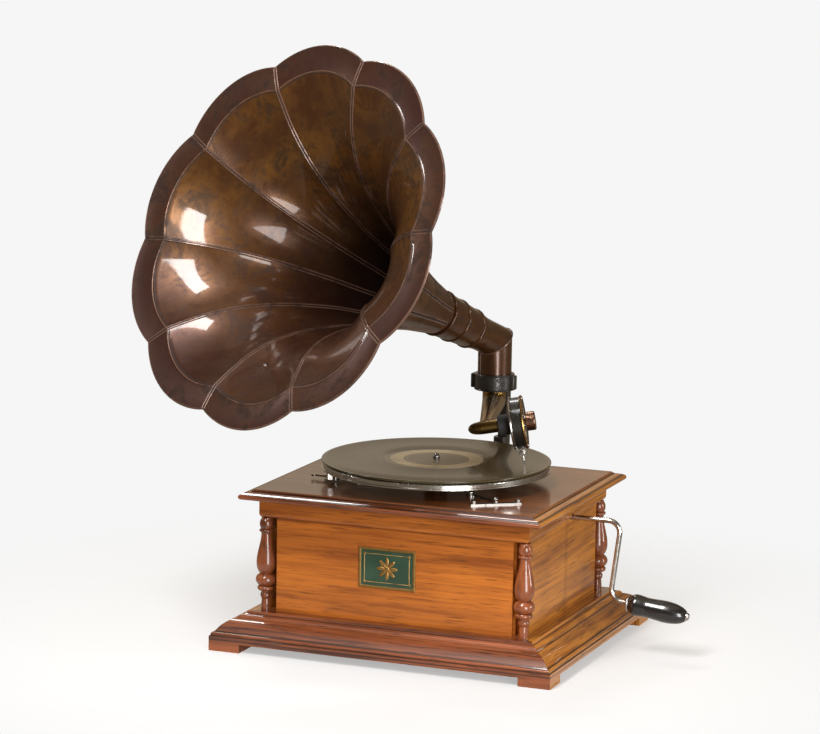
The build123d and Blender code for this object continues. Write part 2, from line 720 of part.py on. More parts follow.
# ---------------------------------------------------------------- crank
crank_lean = radians(CRANK_TILT)
crank_top = Vector(*spot(CRANK_ARM_X, CRANK_Y, CRANK_Z))
crank_foot = crank_top - Vector(sin(crank_lean), 0, cos(crank_lean)) * CRANK_DROP
grip_dir = Vector(cos(crank_lean), 0, -sin(crank_lean))
grip_start = crank_foot + grip_dir * GRIP_START
grip_end = grip_start + grip_dir * (GRIP_LENGTH + 0.5)
with BuildPart() as crank_rod:
    with BuildLine() as crank_path:
        FilletPolyline(spot(CRANK_SOCKET_X, CRANK_Y, CRANK_Z), crank_top, crank_foot, grip_end,
                       radius=CRANK_BEND_R)
    with BuildSketch(Plane(origin=spot(CRANK_SOCKET_X, CRANK_Y, CRANK_Z), z_dir=(1, 0, 0))):
        Circle(CRANK_ROD_R)
    sweep(path=crank_path.line)
save(crank_rod.part, "crank_rod")

grip_bore = CRANK_ROD_R + 0.08
with BuildPart() as crank_grip:
    with BuildSketch(Plane(origin=grip_start, x_dir=grip_dir, z_dir=(0, -1, 0))):
        with BuildLine():
            Spline((0, 9.4), (6, 11.8), (20, 10.8), (40, 11.9), (54, 10.6), (GRIP_LENGTH, 5.6))
            Polyline((GRIP_LENGTH, 5.6), (GRIP_LENGTH, grip_bore), (0, grip_bore), (0, 9.4))
        make_face()
    revolve(axis=Axis(grip_start, grip_dir))
save(crank_grip.part, "crank_grip")

with BuildPart() as grip_nut:
    with BuildSketch(Plane(origin=grip_end, z_dir=grip_dir)):
        Circle(4.2)
    extrude(amount=2.8)
    fillet(grip_nut.faces().sort_by(Axis.X)[-1].edges(), radius=1.6)
save(grip_nut.part, "grip_nut")

# ---------------------------------------------------------------- horn
yaw = radians(HORN_YAW)
pitch = radians(HORN_PITCH)
horn_dir = Vector(-sin(yaw) * cos(pitch), -cos(yaw) * cos(pitch), sin(pitch))
elbow = Vector(*spot(0, PIVOT_Y, ELBOW_Z))
mouth = Plane(origin=elbow + horn_dir * HORN_LENGTH, x_dir=(cos(yaw), -sin(yaw), 0),
              z_dir=horn_dir)
horn_axis = Axis(mouth.origin, horn_dir)


def horn_side(turn):
    """The plane through the horn's axis: local x is the radius, local y is towards the listener."""
    radial = mouth.x_dir * cos(radians(turn)) + mouth.y_dir * sin(radians(turn))
    return Plane(origin=mouth.origin, x_dir=radial, z_dir=radial.cross(horn_dir))


def outside(points):
    """The same curve moved outwards by the thickness of the sheet."""
    moved = []
    for i, (r, s) in enumerate(points):
        before = points[max(i - 1, 0)]
        after = points[min(i + 1, len(points) - 1)]
        run = (after[0] - before[0], after[1] - before[1])
        size = hypot(*run)
        moved.append((r + SHEET * run[1] / size, s - SHEET * run[0] / size))
    return moved


inner_face = [(r, -s) for r, s in FLARE]
outer_face = [(r, -s) for r, s in outside([(r, s) for r, s in FLARE])]
petal_span = 360 / PETALS
for petal in range(PETALS):
    rib = FIRST_RIB + petal_span * petal
    with BuildPart() as horn_petal:
        with BuildSketch(horn_side(rib)):
            with BuildLine():
                Spline(*inner_face)
                Line(inner_face[-1], outer_face[-1])
                Spline(*outer_face)
                Polyline(outer_face[0], (PETAL_TIP_R + 2, FLANGE_RISE - SHEET),
                         (PETAL_TIP_R + 2, FLANGE_RISE), inner_face[0])
            make_face()
        revolve(axis=horn_axis, revolution_arc=petal_span)
        with BuildSketch(mouth.offset(-10)):
            with BuildLine():
                cusp_a = PolarLine((0, 0), PETAL_CUSP_R, rib, mode=Mode.PRIVATE) @ 1
                cusp_b = PolarLine((0, 0), PETAL_CUSP_R, rib + petal_span, mode=Mode.PRIVATE) @ 1
                tip = PolarLine((0, 0), PETAL_TIP_R, rib + petal_span / 2, mode=Mode.PRIVATE) @ 1
                far_a = PolarLine((0, 0), PETAL_TIP_R + 20, rib - 2, mode=Mode.PRIVATE) @ 1
                far_b = PolarLine((0, 0), PETAL_TIP_R + 20, rib + petal_span + 2,
                                  mode=Mode.PRIVATE) @ 1
                ThreePointArc(cusp_a, tip, cusp_b)
                Polyline(cusp_b, far_b, far_a, cusp_a)
            make_face()
        extrude(amount=20, mode=Mode.SUBTRACT)
    save(horn_petal.part, "horn_petal_%02d" % (petal + 1))

mitre = Plane(origin=elbow, z_dir=horn_dir + Vector(0, 0, 1))
throat_bead = 1.4


def throat_wall(inset):
    """The conical neck's half outline out to its skin, less an inset."""
    Polyline((0, -270.4), (26.0 - inset, -270.4), (24.4 - inset, -300), (22.4 - inset, -330),
             (PIPE_R - inset, -350), (PIPE_R - inset, -HORN_LENGTH - 30),
             (0, -HORN_LENGTH - 30), (0, -270.4))


with BuildPart() as horn_throat:
    with BuildSketch(horn_side(0)):
        with BuildLine():
            throat_wall(0)
        make_face()
        with Locations((26, -272.2), (24.4, -300), (22.4, -330)):
            Circle(throat_bead)
    revolve(axis=horn_axis)
    with BuildSketch(horn_side(0)):
        with BuildLine():
            throat_wall(SHEET)
        make_face()
    revolve(axis=horn_axis, mode=Mode.SUBTRACT)
    split(bisect_by=mitre, keep=Keep.TOP)
save(horn_throat.part, "horn_throat")

with BuildPart() as horn_elbow:
    with BuildSketch(level(PIPE_BOTTOM_Z, 0, PIVOT_Y)):
        Circle(PIPE_R)
        Circle(PIPE_R - SHEET, mode=Mode.SUBTRACT)
    extrude(amount=ELBOW_Z + 40 - PIPE_BOTTOM_Z)
    split(bisect_by=mitre, keep=Keep.BOTTOM)
save(horn_elbow.part, "horn_elbow")

# ---------------------------------------------------------------- casting behind the cabinet
neck_r = ARM_ROOT_R
arm_y = PIVOT_Y + 18
arm_back_y = arm_y + 14
foot_plate_y = panel_y + 6
with BuildPart() as horn_bracket:
    with BuildSketch(level(COLLAR_Z[0], 0, PIVOT_Y)):
        Circle(COLLAR_R)
    extrude(amount=COLLAR_Z[1] - COLLAR_Z[0])
    side_face = Plane(origin=spot(ARM_X, 0, 0), x_dir=(0, 1, 0), z_dir=(1, 0, 0))
    with BuildSketch(side_face):
        with BuildLine():
            FilletPolyline((PIVOT_Y + 12, 266), (arm_back_y, 266), (arm_back_y, 130),
                           (arm_back_y - 22, 104), (foot_plate_y - 1, 88),
                           (foot_plate_y - 1, 124), (arm_y - 14, 132), (arm_y, 146),
                           (arm_y, 251), (PIVOT_Y + 12, 251), radius=5, close=True)
        make_face()
    extrude(amount=ARM_THICK / 2, both=True)
    with BuildSketch(level(BOSS_Z[0], ARM_X - 1, arm_y)):
        RectangleRounded(BOSS_WIDTH, BOSS_WIDTH, 4)
    extrude(amount=BOSS_Z[1] - BOSS_Z[0])
    with BuildSketch(Plane(origin=spot(0, panel_y, 106), x_dir=(1, 0, 0), z_dir=(0, 1, 0))):
        RectangleRounded(74, 62, 10)
        with GridLocations(52, 40, 2, 2):
            Circle(2.3, mode=Mode.SUBTRACT)
    extrude(amount=6)
    with BuildSketch(level(COLLAR_Z[0] - 1, 0, PIVOT_Y)):
        Circle(neck_r + RUNNING)
    extrude(amount=30, mode=Mode.SUBTRACT)
    with BuildSketch(level(LIP_Z, 0, PIVOT_Y)):
        Circle(PIPE_R + RUNNING)
    extrude(amount=30, mode=Mode.SUBTRACT)
save(horn_bracket.part, "horn_bracket")

with BuildPart() as bracket_screws:
    with BuildSketch(Plane(origin=spot(0, panel_y + 6, 106), x_dir=(1, 0, 0), z_dir=(0, 1, 0))):
        with GridLocations(52, 40, 2, 2):
            Circle(4.2)
    extrude(amount=2.4)
    with BuildSketch(Plane(origin=spot(0, panel_y + 6, 106), x_dir=(1, 0, 0), z_dir=(0, 1, 0))):
        with GridLocations(52, 40, 2, 2):
            Circle(2.2)
    extrude(amount=-6)
save(bracket_screws.part, "bracket_screws")

# ---------------------------------------------------------------- tonearm and sound box
arm_turn = radians(ARM_YAW)
forward = Vector(sin(arm_turn), -cos(arm_turn), 0)
arm_root = Vector(*spot(0, PIVOT_Y, ARM_Z))
arm_tip = arm_root + forward * ARM_LENGTH + Vector(0, 0, ARM_RISE)
arm_dir = (arm_tip - arm_root).normalized()
arm_run = (arm_tip - arm_root).length
tilt = radians(BOX_TILT)
box_dir = Vector(cos(arm_turn) * cos(tilt), sin(arm_turn) * cos(tilt), sin(tilt))
box_centre = arm_tip + box_dir * BOX_REACH
sound = Plane(origin=box_centre, x_dir=forward, z_dir=box_dir)
cross = Plane(origin=arm_tip, x_dir=forward, z_dir=box_dir)
cross_axis = Axis(arm_tip, box_dir)
cross_half = 7.2


def arm_shape(inset, mode):
    """Upright neck, round elbow and tapered tube, all smaller by an inset."""
    with BuildSketch(level(ARM_Z, 0, PIVOT_Y)) as neck:
        Circle(neck_r - inset)
    extrude(neck.sketch, amount=257.4 - ARM_Z, mode=mode)
    with Locations(Location(arm_root)):
        Sphere(ARM_ROOT_R - inset, mode=mode)
    with BuildSketch(Plane(origin=arm_root, z_dir=arm_dir)) as root:
        Circle(ARM_ROOT_R - inset)
    with BuildSketch(Plane(origin=arm_root + arm_dir * (arm_run - 6), z_dir=arm_dir)) as tip:
        Circle(ARM_TIP_R - inset)
    loft([root.sketch, tip.sketch], mode=mode)


with BuildPart() as tonearm:
    arm_shape(0, Mode.ADD)
    with BuildSketch(level(LIP_Z + 0.2, 0, PIVOT_Y)):
        Circle(PIPE_R - 2.5)
    extrude(amount=2.6)
    arm_shape(ARM_WALL, Mode.SUBTRACT)
    with BuildSketch(level(LIP_Z - 6, 0, PIVOT_Y)):
        Circle(neck_r - ARM_WALL)
    extrude(amount=20, mode=Mode.SUBTRACT)
    with BuildSketch(cross.offset(-30)):
        Circle(cross_half)
    extrude(amount=60, mode=Mode.SUBTRACT)
save(tonearm.part, "tonearm")

with BuildPart() as gooseneck:
    with BuildSketch(Plane(origin=arm_tip, x_dir=box_dir, z_dir=cross.x_dir)):
        with BuildLine():
            Polyline((-18.5, 0), (SPIGOT_END, 0), (SPIGOT_END, SPIGOT_R), (14.8, SPIGOT_R),
                     (14.8, cross_half), (-4, cross_half))
            Spline((-4, cross_half), (-11, 6.3), (-16.5, 3.8), (-18.5, 0))
        make_face()
    revolve(axis=cross_axis)
    with BuildSketch(cross):
        Circle(SOUND_BORE)
    extrude(amount=SPIGOT_END + 1, mode=Mode.SUBTRACT)
    with BuildSketch(Plane(origin=arm_tip, z_dir=-arm_dir)):
        Circle(SOUND_BORE)
    extrude(amount=20, mode=Mode.SUBTRACT)
save(gooseneck.part, "gooseneck")

sleeve_start = 15.0
box_back = BOX_REACH - BOX_THICK / 2
with BuildPart() as rubber_sleeve:
    with BuildSketch(cross.offset(sleeve_start)):
        Circle(11.5)
        Circle(SOUND_BORE, mode=Mode.SUBTRACT)
    extrude(amount=box_back - sleeve_start)
    with BuildSketch(cross.offset(sleeve_start)):
        Circle(SPIGOT_R + RUNNING)
    extrude(amount=SPIGOT_END + 0.5 - sleeve_start, mode=Mode.SUBTRACT)
    chamfer(rubber_sleeve.edges().filter_by(GeomType.CIRCLE).sort_by(SortBy.RADIUS)[-2:],
            length=0.8)
save(rubber_sleeve.part, "rubber_sleeve")

rim = 5.0
half_box = BOX_THICK / 2
ledge = 3.0
with BuildPart() as sound_box_shell:
    with BuildSketch(Plane(origin=box_centre, x_dir=forward, z_dir=forward.cross(box_dir))):
        Polygon((SOUND_BORE, -half_box), (BOX_R - 1.4, -half_box), (BOX_R, 1.4 - half_box),
                (BOX_R, -5), (BOX_R - 1, -4.4), (BOX_R - 1, 4.4), (BOX_R, 5),
                (BOX_R, half_box - 1.4), (BOX_R - 1.4, half_box), (BOX_R - rim, half_box),
                (BOX_R - rim, ledge), (BOX_R - rim - 3, ledge), (BOX_R - rim - 3, -4),
                (SOUND_BORE, -4), align=None)
    revolve(axis=Axis(box_centre, box_dir))
save(sound_box_shell.part, "sound_box_shell")

with BuildPart() as diaphragm:
    with BuildSketch(sound.offset(ledge)):
        Circle(BOX_R - rim - 0.1)
    extrude(amount=0.6)
save(diaphragm.part, "diaphragm")

knob_start = ledge + 0.6
with BuildPart() as sound_box_knob:
    with BuildSketch(sound.offset(knob_start)):
        Circle(4)
    extrude(amount=half_box + 2 - knob_start)
    with BuildSketch(sound.offset(half_box + 2)):
        Circle(10.5)
    extrude(amount=9.5)
    chamfer(sound_box_knob.faces().sort_by(Axis(box_centre, box_dir))[-1].edges(), length=1)
save(sound_box_knob.part, "sound_box_knob")

record_drop = (box_centre.Z - RECORD_TOP_Z - NEEDLE_GAP) / cos(tilt)
with BuildPart() as needle_holder:
    with BuildSketch(sound.offset(-5)):
        with Locations((0, BOX_R + 3)):
            Rectangle(9, 8)
    extrude(amount=10)
    with BuildSketch(sound.offset(-5)):
        Circle(BOX_R + 0.05)
    extrude(amount=10, mode=Mode.SUBTRACT)
    with BuildSketch(Plane(origin=sound.origin + sound.y_dir * (BOX_R + 4.4), z_dir=forward)):
        Circle(2.2)
    extrude(amount=11)
    with BuildSketch(Plane(origin=sound.origin + sound.y_dir * (BOX_R + 4), z_dir=sound.y_dir)):
        Circle(0.82)
    extrude(amount=10, mode=Mode.SUBTRACT)
save(needle_holder.part, "needle_holder")

needle_start = BOX_R + 4.2
needle_taper = 5.0
with BuildPart() as needle:
    with BuildSketch(Plane(origin=sound.origin, x_dir=box_dir, z_dir=forward)):
        with BuildLine():
            Polyline((0, -needle_start), (0.8, -needle_start), (0.8, -record_drop + needle_taper),
                     (0.12, -record_drop), (0, -record_drop), (0, -needle_start))
        make_face()
    revolve(axis=Axis(box_centre, sound.y_dir))
save(needle.part, "needle")
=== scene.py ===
import json
from math import atan2, cos, pi, radians, sin, tau

import bmesh
import bpy
from bpy.props import FloatProperty, FloatVectorProperty, IntProperty, PointerProperty
from mathutils import Matrix, Vector
from mathutils.geometry import interpolate_bezier


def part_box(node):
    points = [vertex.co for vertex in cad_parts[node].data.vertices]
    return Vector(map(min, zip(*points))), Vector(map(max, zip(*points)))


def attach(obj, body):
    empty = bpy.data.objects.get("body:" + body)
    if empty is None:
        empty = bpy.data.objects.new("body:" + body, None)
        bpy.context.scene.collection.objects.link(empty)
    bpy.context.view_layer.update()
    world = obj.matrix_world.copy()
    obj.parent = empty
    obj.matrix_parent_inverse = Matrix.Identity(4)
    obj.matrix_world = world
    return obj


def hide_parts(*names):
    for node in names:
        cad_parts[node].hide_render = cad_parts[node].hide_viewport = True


bl_info = {
    "name": "Horn Phonograph",
    "version": (1, 0, 0),
    "blender": (4, 5, 0),
    "location": "View3D > Sidebar > Phonograph",
    "description": "Builds the finished surfaces of a wind-up horn phonograph around its frame",
    "category": "Object",
}

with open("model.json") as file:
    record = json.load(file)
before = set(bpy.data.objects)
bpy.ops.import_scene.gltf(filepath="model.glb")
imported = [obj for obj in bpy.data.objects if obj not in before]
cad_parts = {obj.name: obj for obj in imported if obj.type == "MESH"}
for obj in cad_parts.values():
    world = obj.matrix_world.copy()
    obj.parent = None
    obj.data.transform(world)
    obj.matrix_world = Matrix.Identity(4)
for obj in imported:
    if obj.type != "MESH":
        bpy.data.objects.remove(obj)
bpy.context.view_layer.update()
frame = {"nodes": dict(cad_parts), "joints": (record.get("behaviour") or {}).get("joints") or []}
JOINTS = {joint["name"]: joint for joint in frame["joints"]}
UP = Vector((0, 0, 1))


def pivot(name):
    """A joint's centre, in metres."""
    return Vector(JOINTS[name]["pos_m"])


SPINDLE = pivot("turntable_spin")
ON_SPINDLE = Matrix.Translation((SPINDLE.x, SPINDLE.y, 0))
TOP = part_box("top_board")[1].z
RECORD_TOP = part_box("record")[1].z


# ------------------------------------------------------------------ sizes and colours
def size(label, default, text):
    """A length property, in metres."""
    return FloatProperty(name=label, description=text, default=default, unit="LENGTH", min=0.0,
                         precision=5)


def turn(label, default, text):
    """An angle property, in radians."""
    return FloatProperty(name=label, description=text, default=default, unit="ROTATION")


def share(label, default, text):
    """A property between nought and one."""
    return FloatProperty(name=label, description=text, default=default, min=0.0, max=1.0,
                         subtype="FACTOR")


def count(label, default, text):
    """A whole number property."""
    return IntProperty(name=label, description=text, default=default, min=1)


def colour(label, default, text):
    """A linear colour property."""
    return FloatVectorProperty(name=label, description=text, default=default, size=3, min=0.0,
                               max=1.0, subtype="COLOR")


class HornLooks(bpy.types.PropertyGroup):
    """Sizes and colours of the horn"""
    elbow_height: size("Elbow height", 0.305, "Height of the mitred elbow above the table")
    yaw: turn("Yaw", radians(20.6), "Turn of the horn to the left of the front")
    pitch: turn("Pitch", radians(23.5), "Rise of the horn's axis")
    length: size("Length", 0.380, "From the elbow to the mouth along the axis")
    petals: count("Petals", 10, "Sheet gores round the bell")
    first_rib: turn("First seam", radians(7), "Angle of the first seam round the axis")
    crease_seam: size("Crease at a seam", 0.1755, "Radius of the crease where it meets a seam")
    crease_middle: size("Crease in a petal", 0.1867, "Radius of the crease mid-petal")
    rim_seam: size("Rim at a seam", 0.203, "Radius of the rim at a seam")
    rim_middle: size("Rim in a petal", 0.215, "Radius of the rim mid-petal")
    rim_rise: size("Rim rise", 0.0023, "How far the rim stands before the crease")
    sheet: size("Sheet", 0.0009, "Thickness of the sheet metal")
    seam_wire: size("Seam", 0.0010, "Radius of each bead of a rolled seam")
    seam_gap: size("Seam width", 0.0017, "Half the distance between a seam's two beads")
    rim_wire: size("Rim wire", 0.0014, "Radius of the wired rim")
    amber: colour("Amber", (0.200, 0.080, 0.012), "Where the patina is thin")
    brown: colour("Brown", (0.068, 0.023, 0.007), "The body of the patina")
    # Also the colour of the dark wires in the seams and inside the crease, which are painted shade.
    soot_and_shade: colour("Soot", (0.010, 0.004, 0.004), "Where the patina is thick")
    plum: colour("Plum", (0.050, 0.016, 0.011), "The flange round the mouth")
    bead: colour("Bead", (0.190, 0.105, 0.075), "Rubbed seams and rim wire")


class WoodLooks(bpy.types.PropertyGroup):
    """Colours of the case"""
    panel_light: colour("Panel light", (0.53, 0.155, 0.018), "Light grain of the front panel")
    panel_dark: colour("Panel dark", (0.190, 0.043, 0.006), "Dark grain of the front panel")
    # The side pair is the case wood painted lighter and more golden: painted light on the sides.
    lit_side_light: colour("Side light", (0.60, 0.225, 0.024), "Light grain of the side panels")
    lit_side_dark: colour("Side dark", (0.19, 0.050, 0.006), "Dark grain of the side panels")
    trim_light: colour("Trim light", (0.33, 0.088, 0.026), "Light grain of the mouldings")
    trim_dark: colour("Trim dark", (0.050, 0.011, 0.004), "Dark grain of the mouldings")
    top_light: colour("Top light", (0.30, 0.100, 0.030), "Light grain of the top board")
    top_dark: colour("Top dark", (0.075, 0.022, 0.007), "Dark grain of the top board")


class DiscLooks(bpy.types.PropertyGroup):
    """Sizes and colours of the turntable and the disc"""
    label_outer: size("Label", 0.0515, "Outer radius of the label's ring")
    label_inner: size("Label centre", 0.0365, "Radius of the label's centre")
    rim_dots: count("Rim dots", 54, "Small dots round the platter's rim")
    shellac: colour("Shellac", (0.040, 0.029, 0.009), "The disc")
    ring: colour("Label ring", (0.72, 0.57, 0.34), "The label's pale ring")
    paper: colour("Label paper", (0.27, 0.205, 0.12), "The label's centre")
    felt: colour("Felt", (0.10, 0.09, 0.05), "The mat")


class MetalLooks(bpy.types.PropertyGroup):
    """Colours of the metal, rubber and lacquered parts"""
    nickel: colour("Nickel", (0.56, 0.54, 0.51), "Worn nickel plate")
    # A darker copy of the nickel: painted shade holding down the light on the brake and the speed
    # lever.
    dimmed: colour("Dull nickel", (0.38, 0.36, 0.34), "The brake and the speed lever")
    brass: colour("Brass", (0.42, 0.26, 0.085), "Polished brass")
    bronze: colour("Bronze", (0.13, 0.080, 0.024), "Browned brass")
    copper: colour("Copper", (0.22, 0.125, 0.085), "The knob of the sound box")
    iron: colour("Iron", (0.012, 0.010, 0.008), "Black painted casting")
    lacquer: colour("Lacquer", (0.006, 0.006, 0.007), "The crank's grip")
    gilt: colour("Gilt", (0.46, 0.27, 0.085), "The badge's frame")
    enamel: colour("Enamel", (0.012, 0.045, 0.022), "The badge's ground")


class StageLooks(bpy.types.PropertyGroup):
    """Floor, light and camera"""
    floor: colour("Floor", (0.86, 0.86, 0.86), "The plain floor")
    reach: size("Reach", 0.75, "Radius of the floor")
    backdrop: share("Backdrop", 0.92, "Brightness of the backdrop")
    surround: colour("Surround", (0.19, 0.15, 0.105), "The warm room around")
    lens: FloatProperty(name="Lens", description="Focal length on a 36 mm sensor", default=148.23)
    eye: FloatVectorProperty(name="Eye", description="The camera, from the spindle's foot",
                             default=(1.31072, -3.41763, 0.92399), subtype="XYZ", unit="LENGTH")
    eye_turn: turn("Camera turn", radians(21.465), "The camera's turn to the left of +Y")
    eye_dip: turn("Camera dip", radians(9.646), "How far the camera looks down")
    eye_roll: turn("Camera roll", radians(0.943), "The camera's roll")


# Fixed linear colours
PORE = (0.012, 0.004, 0.002)
# Painted shade in the creases of the mouldings
CREASE_SHADE = (0.010, 0.004, 0.002)
# Painted shade deep in the horn's bell
THROAT_SHADE = (0.004, 0.003, 0.003)
LOW_PLUM = (0.036, 0.010, 0.010)
# Painted shade under the record, on the platter's middle and the spindle's foot
UNDER_RECORD_SHADE = (0.010, 0.007, 0.005)
BRIGHT_STEEL = (0.30, 0.29, 0.28)
MOTOR_STEEL = (0.36, 0.36, 0.37)
RUBBER = (0.02, 0.019, 0.018)
MICA_LIGHT = (0.55, 0.48, 0.36)
MICA_DARK = (0.36, 0.30, 0.20)
FOXING = (0.10, 0.075, 0.045)
FELT_DARK = (0.03, 0.03, 0.02)
CHIP = (0.05, 0.03, 0.02)


# ------------------------------------------------------------------ shader arithmetic
class Wire:
    """A shader value that takes part in ordinary arithmetic"""

    def __init__(self, finish, socket):
        self.finish = finish
        self.socket = socket

    def math(self, operation, *others, clamp=False):
        """A Math node on this value and the others."""
        sockets = dict(enumerate((self, *others)))
        return self.finish.node("ShaderNodeMath", {"operation": operation, "use_clamp": clamp},
                                sockets)

    def __add__(self, other):
        return self.math("ADD", other)

    __radd__ = __add__

    def __mul__(self, other):
        return self.math("MULTIPLY", other)

    __rmul__ = __mul__

    def __sub__(self, other):
        return self.math("SUBTRACT", other)

    def __rsub__(self, other):
        return (self * -1) + other

    def __truediv__(self, other):
        return self.math("DIVIDE", other)

    def __pow__(self, other):
        return self.math("POWER", other)

    def __abs__(self):
        return self.math("ABSOLUTE")

    def step(self, low, high):
        """A soft step from nought at low to one at high."""
        return self.finish.node("ShaderNodeMapRange", {"interpolation_type": "SMOOTHSTEP"},
                                {0: self, 1: low, 2: high, 3: 0.0, 4: 1.0})


class Finish:
    """One material: a shader whose constants are set at once and whose patterns are joined on"""

    def __init__(self, name, **constants):
        self.material = bpy.data.materials.new(name)
        self.material.use_nodes = True
        self.tree = self.material.node_tree
        self.tree.nodes.clear()
        output = self.tree.nodes.new("ShaderNodeOutputMaterial")
        self.shader = self.tree.nodes.new("ShaderNodeBsdfPrincipled")
        self.tree.links.new(self.shader.outputs[0], output.inputs[0])
        for key, value in constants.items():
            self.join(self.shader.inputs[key.replace("_", " ")], value)

    def join(self, socket, value):
        """Link a wire to a socket, or set the socket."""
        if isinstance(value, Wire):
            self.tree.links.new(value.socket, socket)
        elif socket.type == "RGBA" and len(value) == 3:
            socket.default_value = (*value, 1.0)
        else:
            socket.default_value = value

    def node(self, kind, settings=None, sockets=None, output=0):
        """A node of a kind, with its settings made first and then its sockets."""
        made = self.tree.nodes.new(kind)
        for key, value in (settings or {}).items():
            setattr(made, key, value)
        for key, value in (sockets or {}).items():
            self.join(made.inputs[key], value)
        return Wire(self, made.outputs[output])

    def place(self, scale=(1, 1, 1), centre=(0, 0, 0)):
        """The object's own coordinates, centred and scaled."""
        spot = self.node("ShaderNodeTexCoord", output=3)
        moved = self.node("ShaderNodeVectorMath", {"operation": "SUBTRACT"},
                          {0: spot, 1: tuple(centre)})
        return self.node("ShaderNodeVectorMath", {"operation": "MULTIPLY"}, {0: moved, 1: scale})

    def reach(self):
        """The distance from the spindle's axis."""
        return self.node("ShaderNodeVectorMath", {"operation": "LENGTH"},
                         {0: self.place((1, 1, 0), SPINDLE)}, 1)

    def axis(self, vector, letter):
        """One coordinate of a vector."""
        return self.node("ShaderNodeSeparateXYZ", None, {0: vector}, "XYZ".index(letter))

    def noise(self, vector, scale, detail=3.0, rough=0.5, warp=0.0):
        """Soft clouds."""
        return self.node("ShaderNodeTexNoise", None,
                         {"Vector": vector, "Scale": scale, "Detail": detail,
                          "Roughness": rough, "Distortion": warp})

    def blend(self, mask, first, second, kind="MIX"):
        """A mix of two colours."""
        return self.node("ShaderNodeMix", {"data_type": "RGBA", "blend_type": kind},
                         {0: mask, 6: first, 7: second}, 2)

    def choose(self, mask, first, second):
        """A mix of two vectors."""
        return self.node("ShaderNodeMix", {"data_type": "VECTOR"}, {0: mask, 4: first, 5: second},
                         1)

    def feed(self, **sockets):
        """Join patterns to the shader."""
        for key, value in sockets.items():
            self.join(self.shader.inputs[key.replace("_", " ")], value)

    def relief(self, height, depth, strength=1.0):
        """Surface relief of a depth in metres."""
        bump = self.node("ShaderNodeBump", None,
                         {"Strength": strength, "Distance": depth, "Height": height})
        self.join(self.shader.inputs["Normal"], bump)


def lacquered_wood(name, light, dark, grain, gloss=0.75, polish=0.07, sides=None, figure=1.0,
                   insets=(), levels=()):
    """Lacquered hardwood; the grain runs along X, Y, Z, or along each length of a mitred frame.
    A frame has dark lines of painted shade in its creases, at distances from its edge and at
    heights; its side lengths can take a second colour pair, painted lighter for the light on the
    sides."""
    finish = Finish(name, Coat_Roughness=polish, Coat_IOR=1.5, Coat_Weight=gloss,
                    Specular_IOR_Level=0.3)
    along = {"X": (0.04, 1, 1), "Y": (1, 0.04, 1), "Z": (1, 1, 0.04)}
    light, dark = tuple(light), tuple(dark)
    creases = []
    if grain in along:
        spot = finish.place(along[grain])
    else:
        raw = finish.place(centre=SPINDLE)
        low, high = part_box(grain)
        excess = (high.x - low.x) / 2 - (high.y - low.y) / 2
        side = abs(finish.axis(raw, "X")) - abs(finish.axis(raw, "Y")) - excess
        flank = side.step(-0.0002, 0.0002)
        spot = finish.choose(flank, finish.place(along["X"]), finish.place(along["Y"]))
        inward = (flank * ((high.x - low.x) / 2 - abs(finish.axis(raw, "X")))
                  + (1 - flank) * ((high.y - low.y) / 2 - abs(finish.axis(raw, "Y"))))
        creases = [abs(inward - inset) for inset in insets]
        creases += [abs(finish.axis(raw, "Z") - (level - SPINDLE.z)) for level in levels]
        # Side lengths take the side pair: painted light on the frame's sides.
        if sides:
            light = finish.blend(flank, light, tuple(sides[0]))
            dark = finish.blend(flank, dark, tuple(sides[1]))
    broad = finish.noise(spot, 38.0, 3.0, 0.55, 0.4)
    streak = finish.noise(spot, 190.0, 4.0, 0.6, 0.3)
    pores = finish.noise(spot, 700.0, 2.0, 0.6)
    cloud = finish.noise(finish.place(), 9.0, 2.0)
    tone = broad.step(0.34, 0.66) * 0.38 + streak.step(0.32, 0.64) * 0.50
    shade = finish.blend((tone + cloud.step(0.3, 0.7) * 0.24).math("ADD", 0.0, clamp=True),
                         dark, light)
    marked = finish.blend(pores.step(0.56, 0.70) * 0.55 * figure, shade, PORE)
    # Painted shade: dark lines along the frame's creases, at the given insets and heights.
    for gap in creases:
        marked = finish.blend((1 - gap.step(0.0003, 0.0010)) * 0.8, marked, CREASE_SHADE)
    finish.feed(Base_Color=marked, Roughness=0.32 + streak * 0.18)
    finish.relief(pores * 0.5 + streak * 0.5, 0.00016 * figure * figure, 0.5)
    return finish.material


def patinated_sheet(name, looks, horn, body, warmth=1.0, throat=None):
    """Polished copper sheet under a mottled brown patina; given depths, it darkens to near black
    towards the throat: painted shade deep in the bell.
    """
    finish = Finish(name, Coat_Roughness=0.06, Metallic=0.5, Specular_IOR_Level=0.5)
    spot = finish.place(centre=horn.mouth)
    clouds = finish.noise(spot, 9.0, 5.0, 0.62, 0.8)
    blots = finish.noise(spot, 30.0, 6.0, 0.72, 0.8)
    specks = finish.noise(spot, 170.0, 4.0, 0.6)
    rubbed = (clouds * 0.6 + blots * 0.4).step(0.40, 0.64) * warmth
    dark = (blots * 0.60 + clouds * 0.25 + specks * 0.15).step(0.46, 0.60)
    warm = finish.blend(rubbed, tuple(body), tuple(looks.amber))
    sheet_colour = finish.blend(dark * 0.75, warm, tuple(looks.soot_and_shade))
    if throat:
        low = finish.axis(spot, "Z").step(0.02, -0.12)
        reddened = finish.blend(low * 0.60, sheet_colour, LOW_PLUM)
        # Painted shade: deeper behind the mouth the colour turns near black.
        back = finish.node("ShaderNodeVectorMath", {"operation": "DOT_PRODUCT"},
                           {0: spot, 1: tuple(-horn.axis)}, 1)
        sheet_colour = finish.blend(back.step(*throat) * 0.92, reddened, THROAT_SHADE)
    finish.feed(Base_Color=sheet_colour,
                Roughness=0.24 + blots * 0.16 + dark * 0.12,
                Coat_Weight=0.45 + rubbed * 0.30)
    finish.relief(clouds * 0.7 + specks * 0.04, 0.0005, 0.3)
    return finish.material


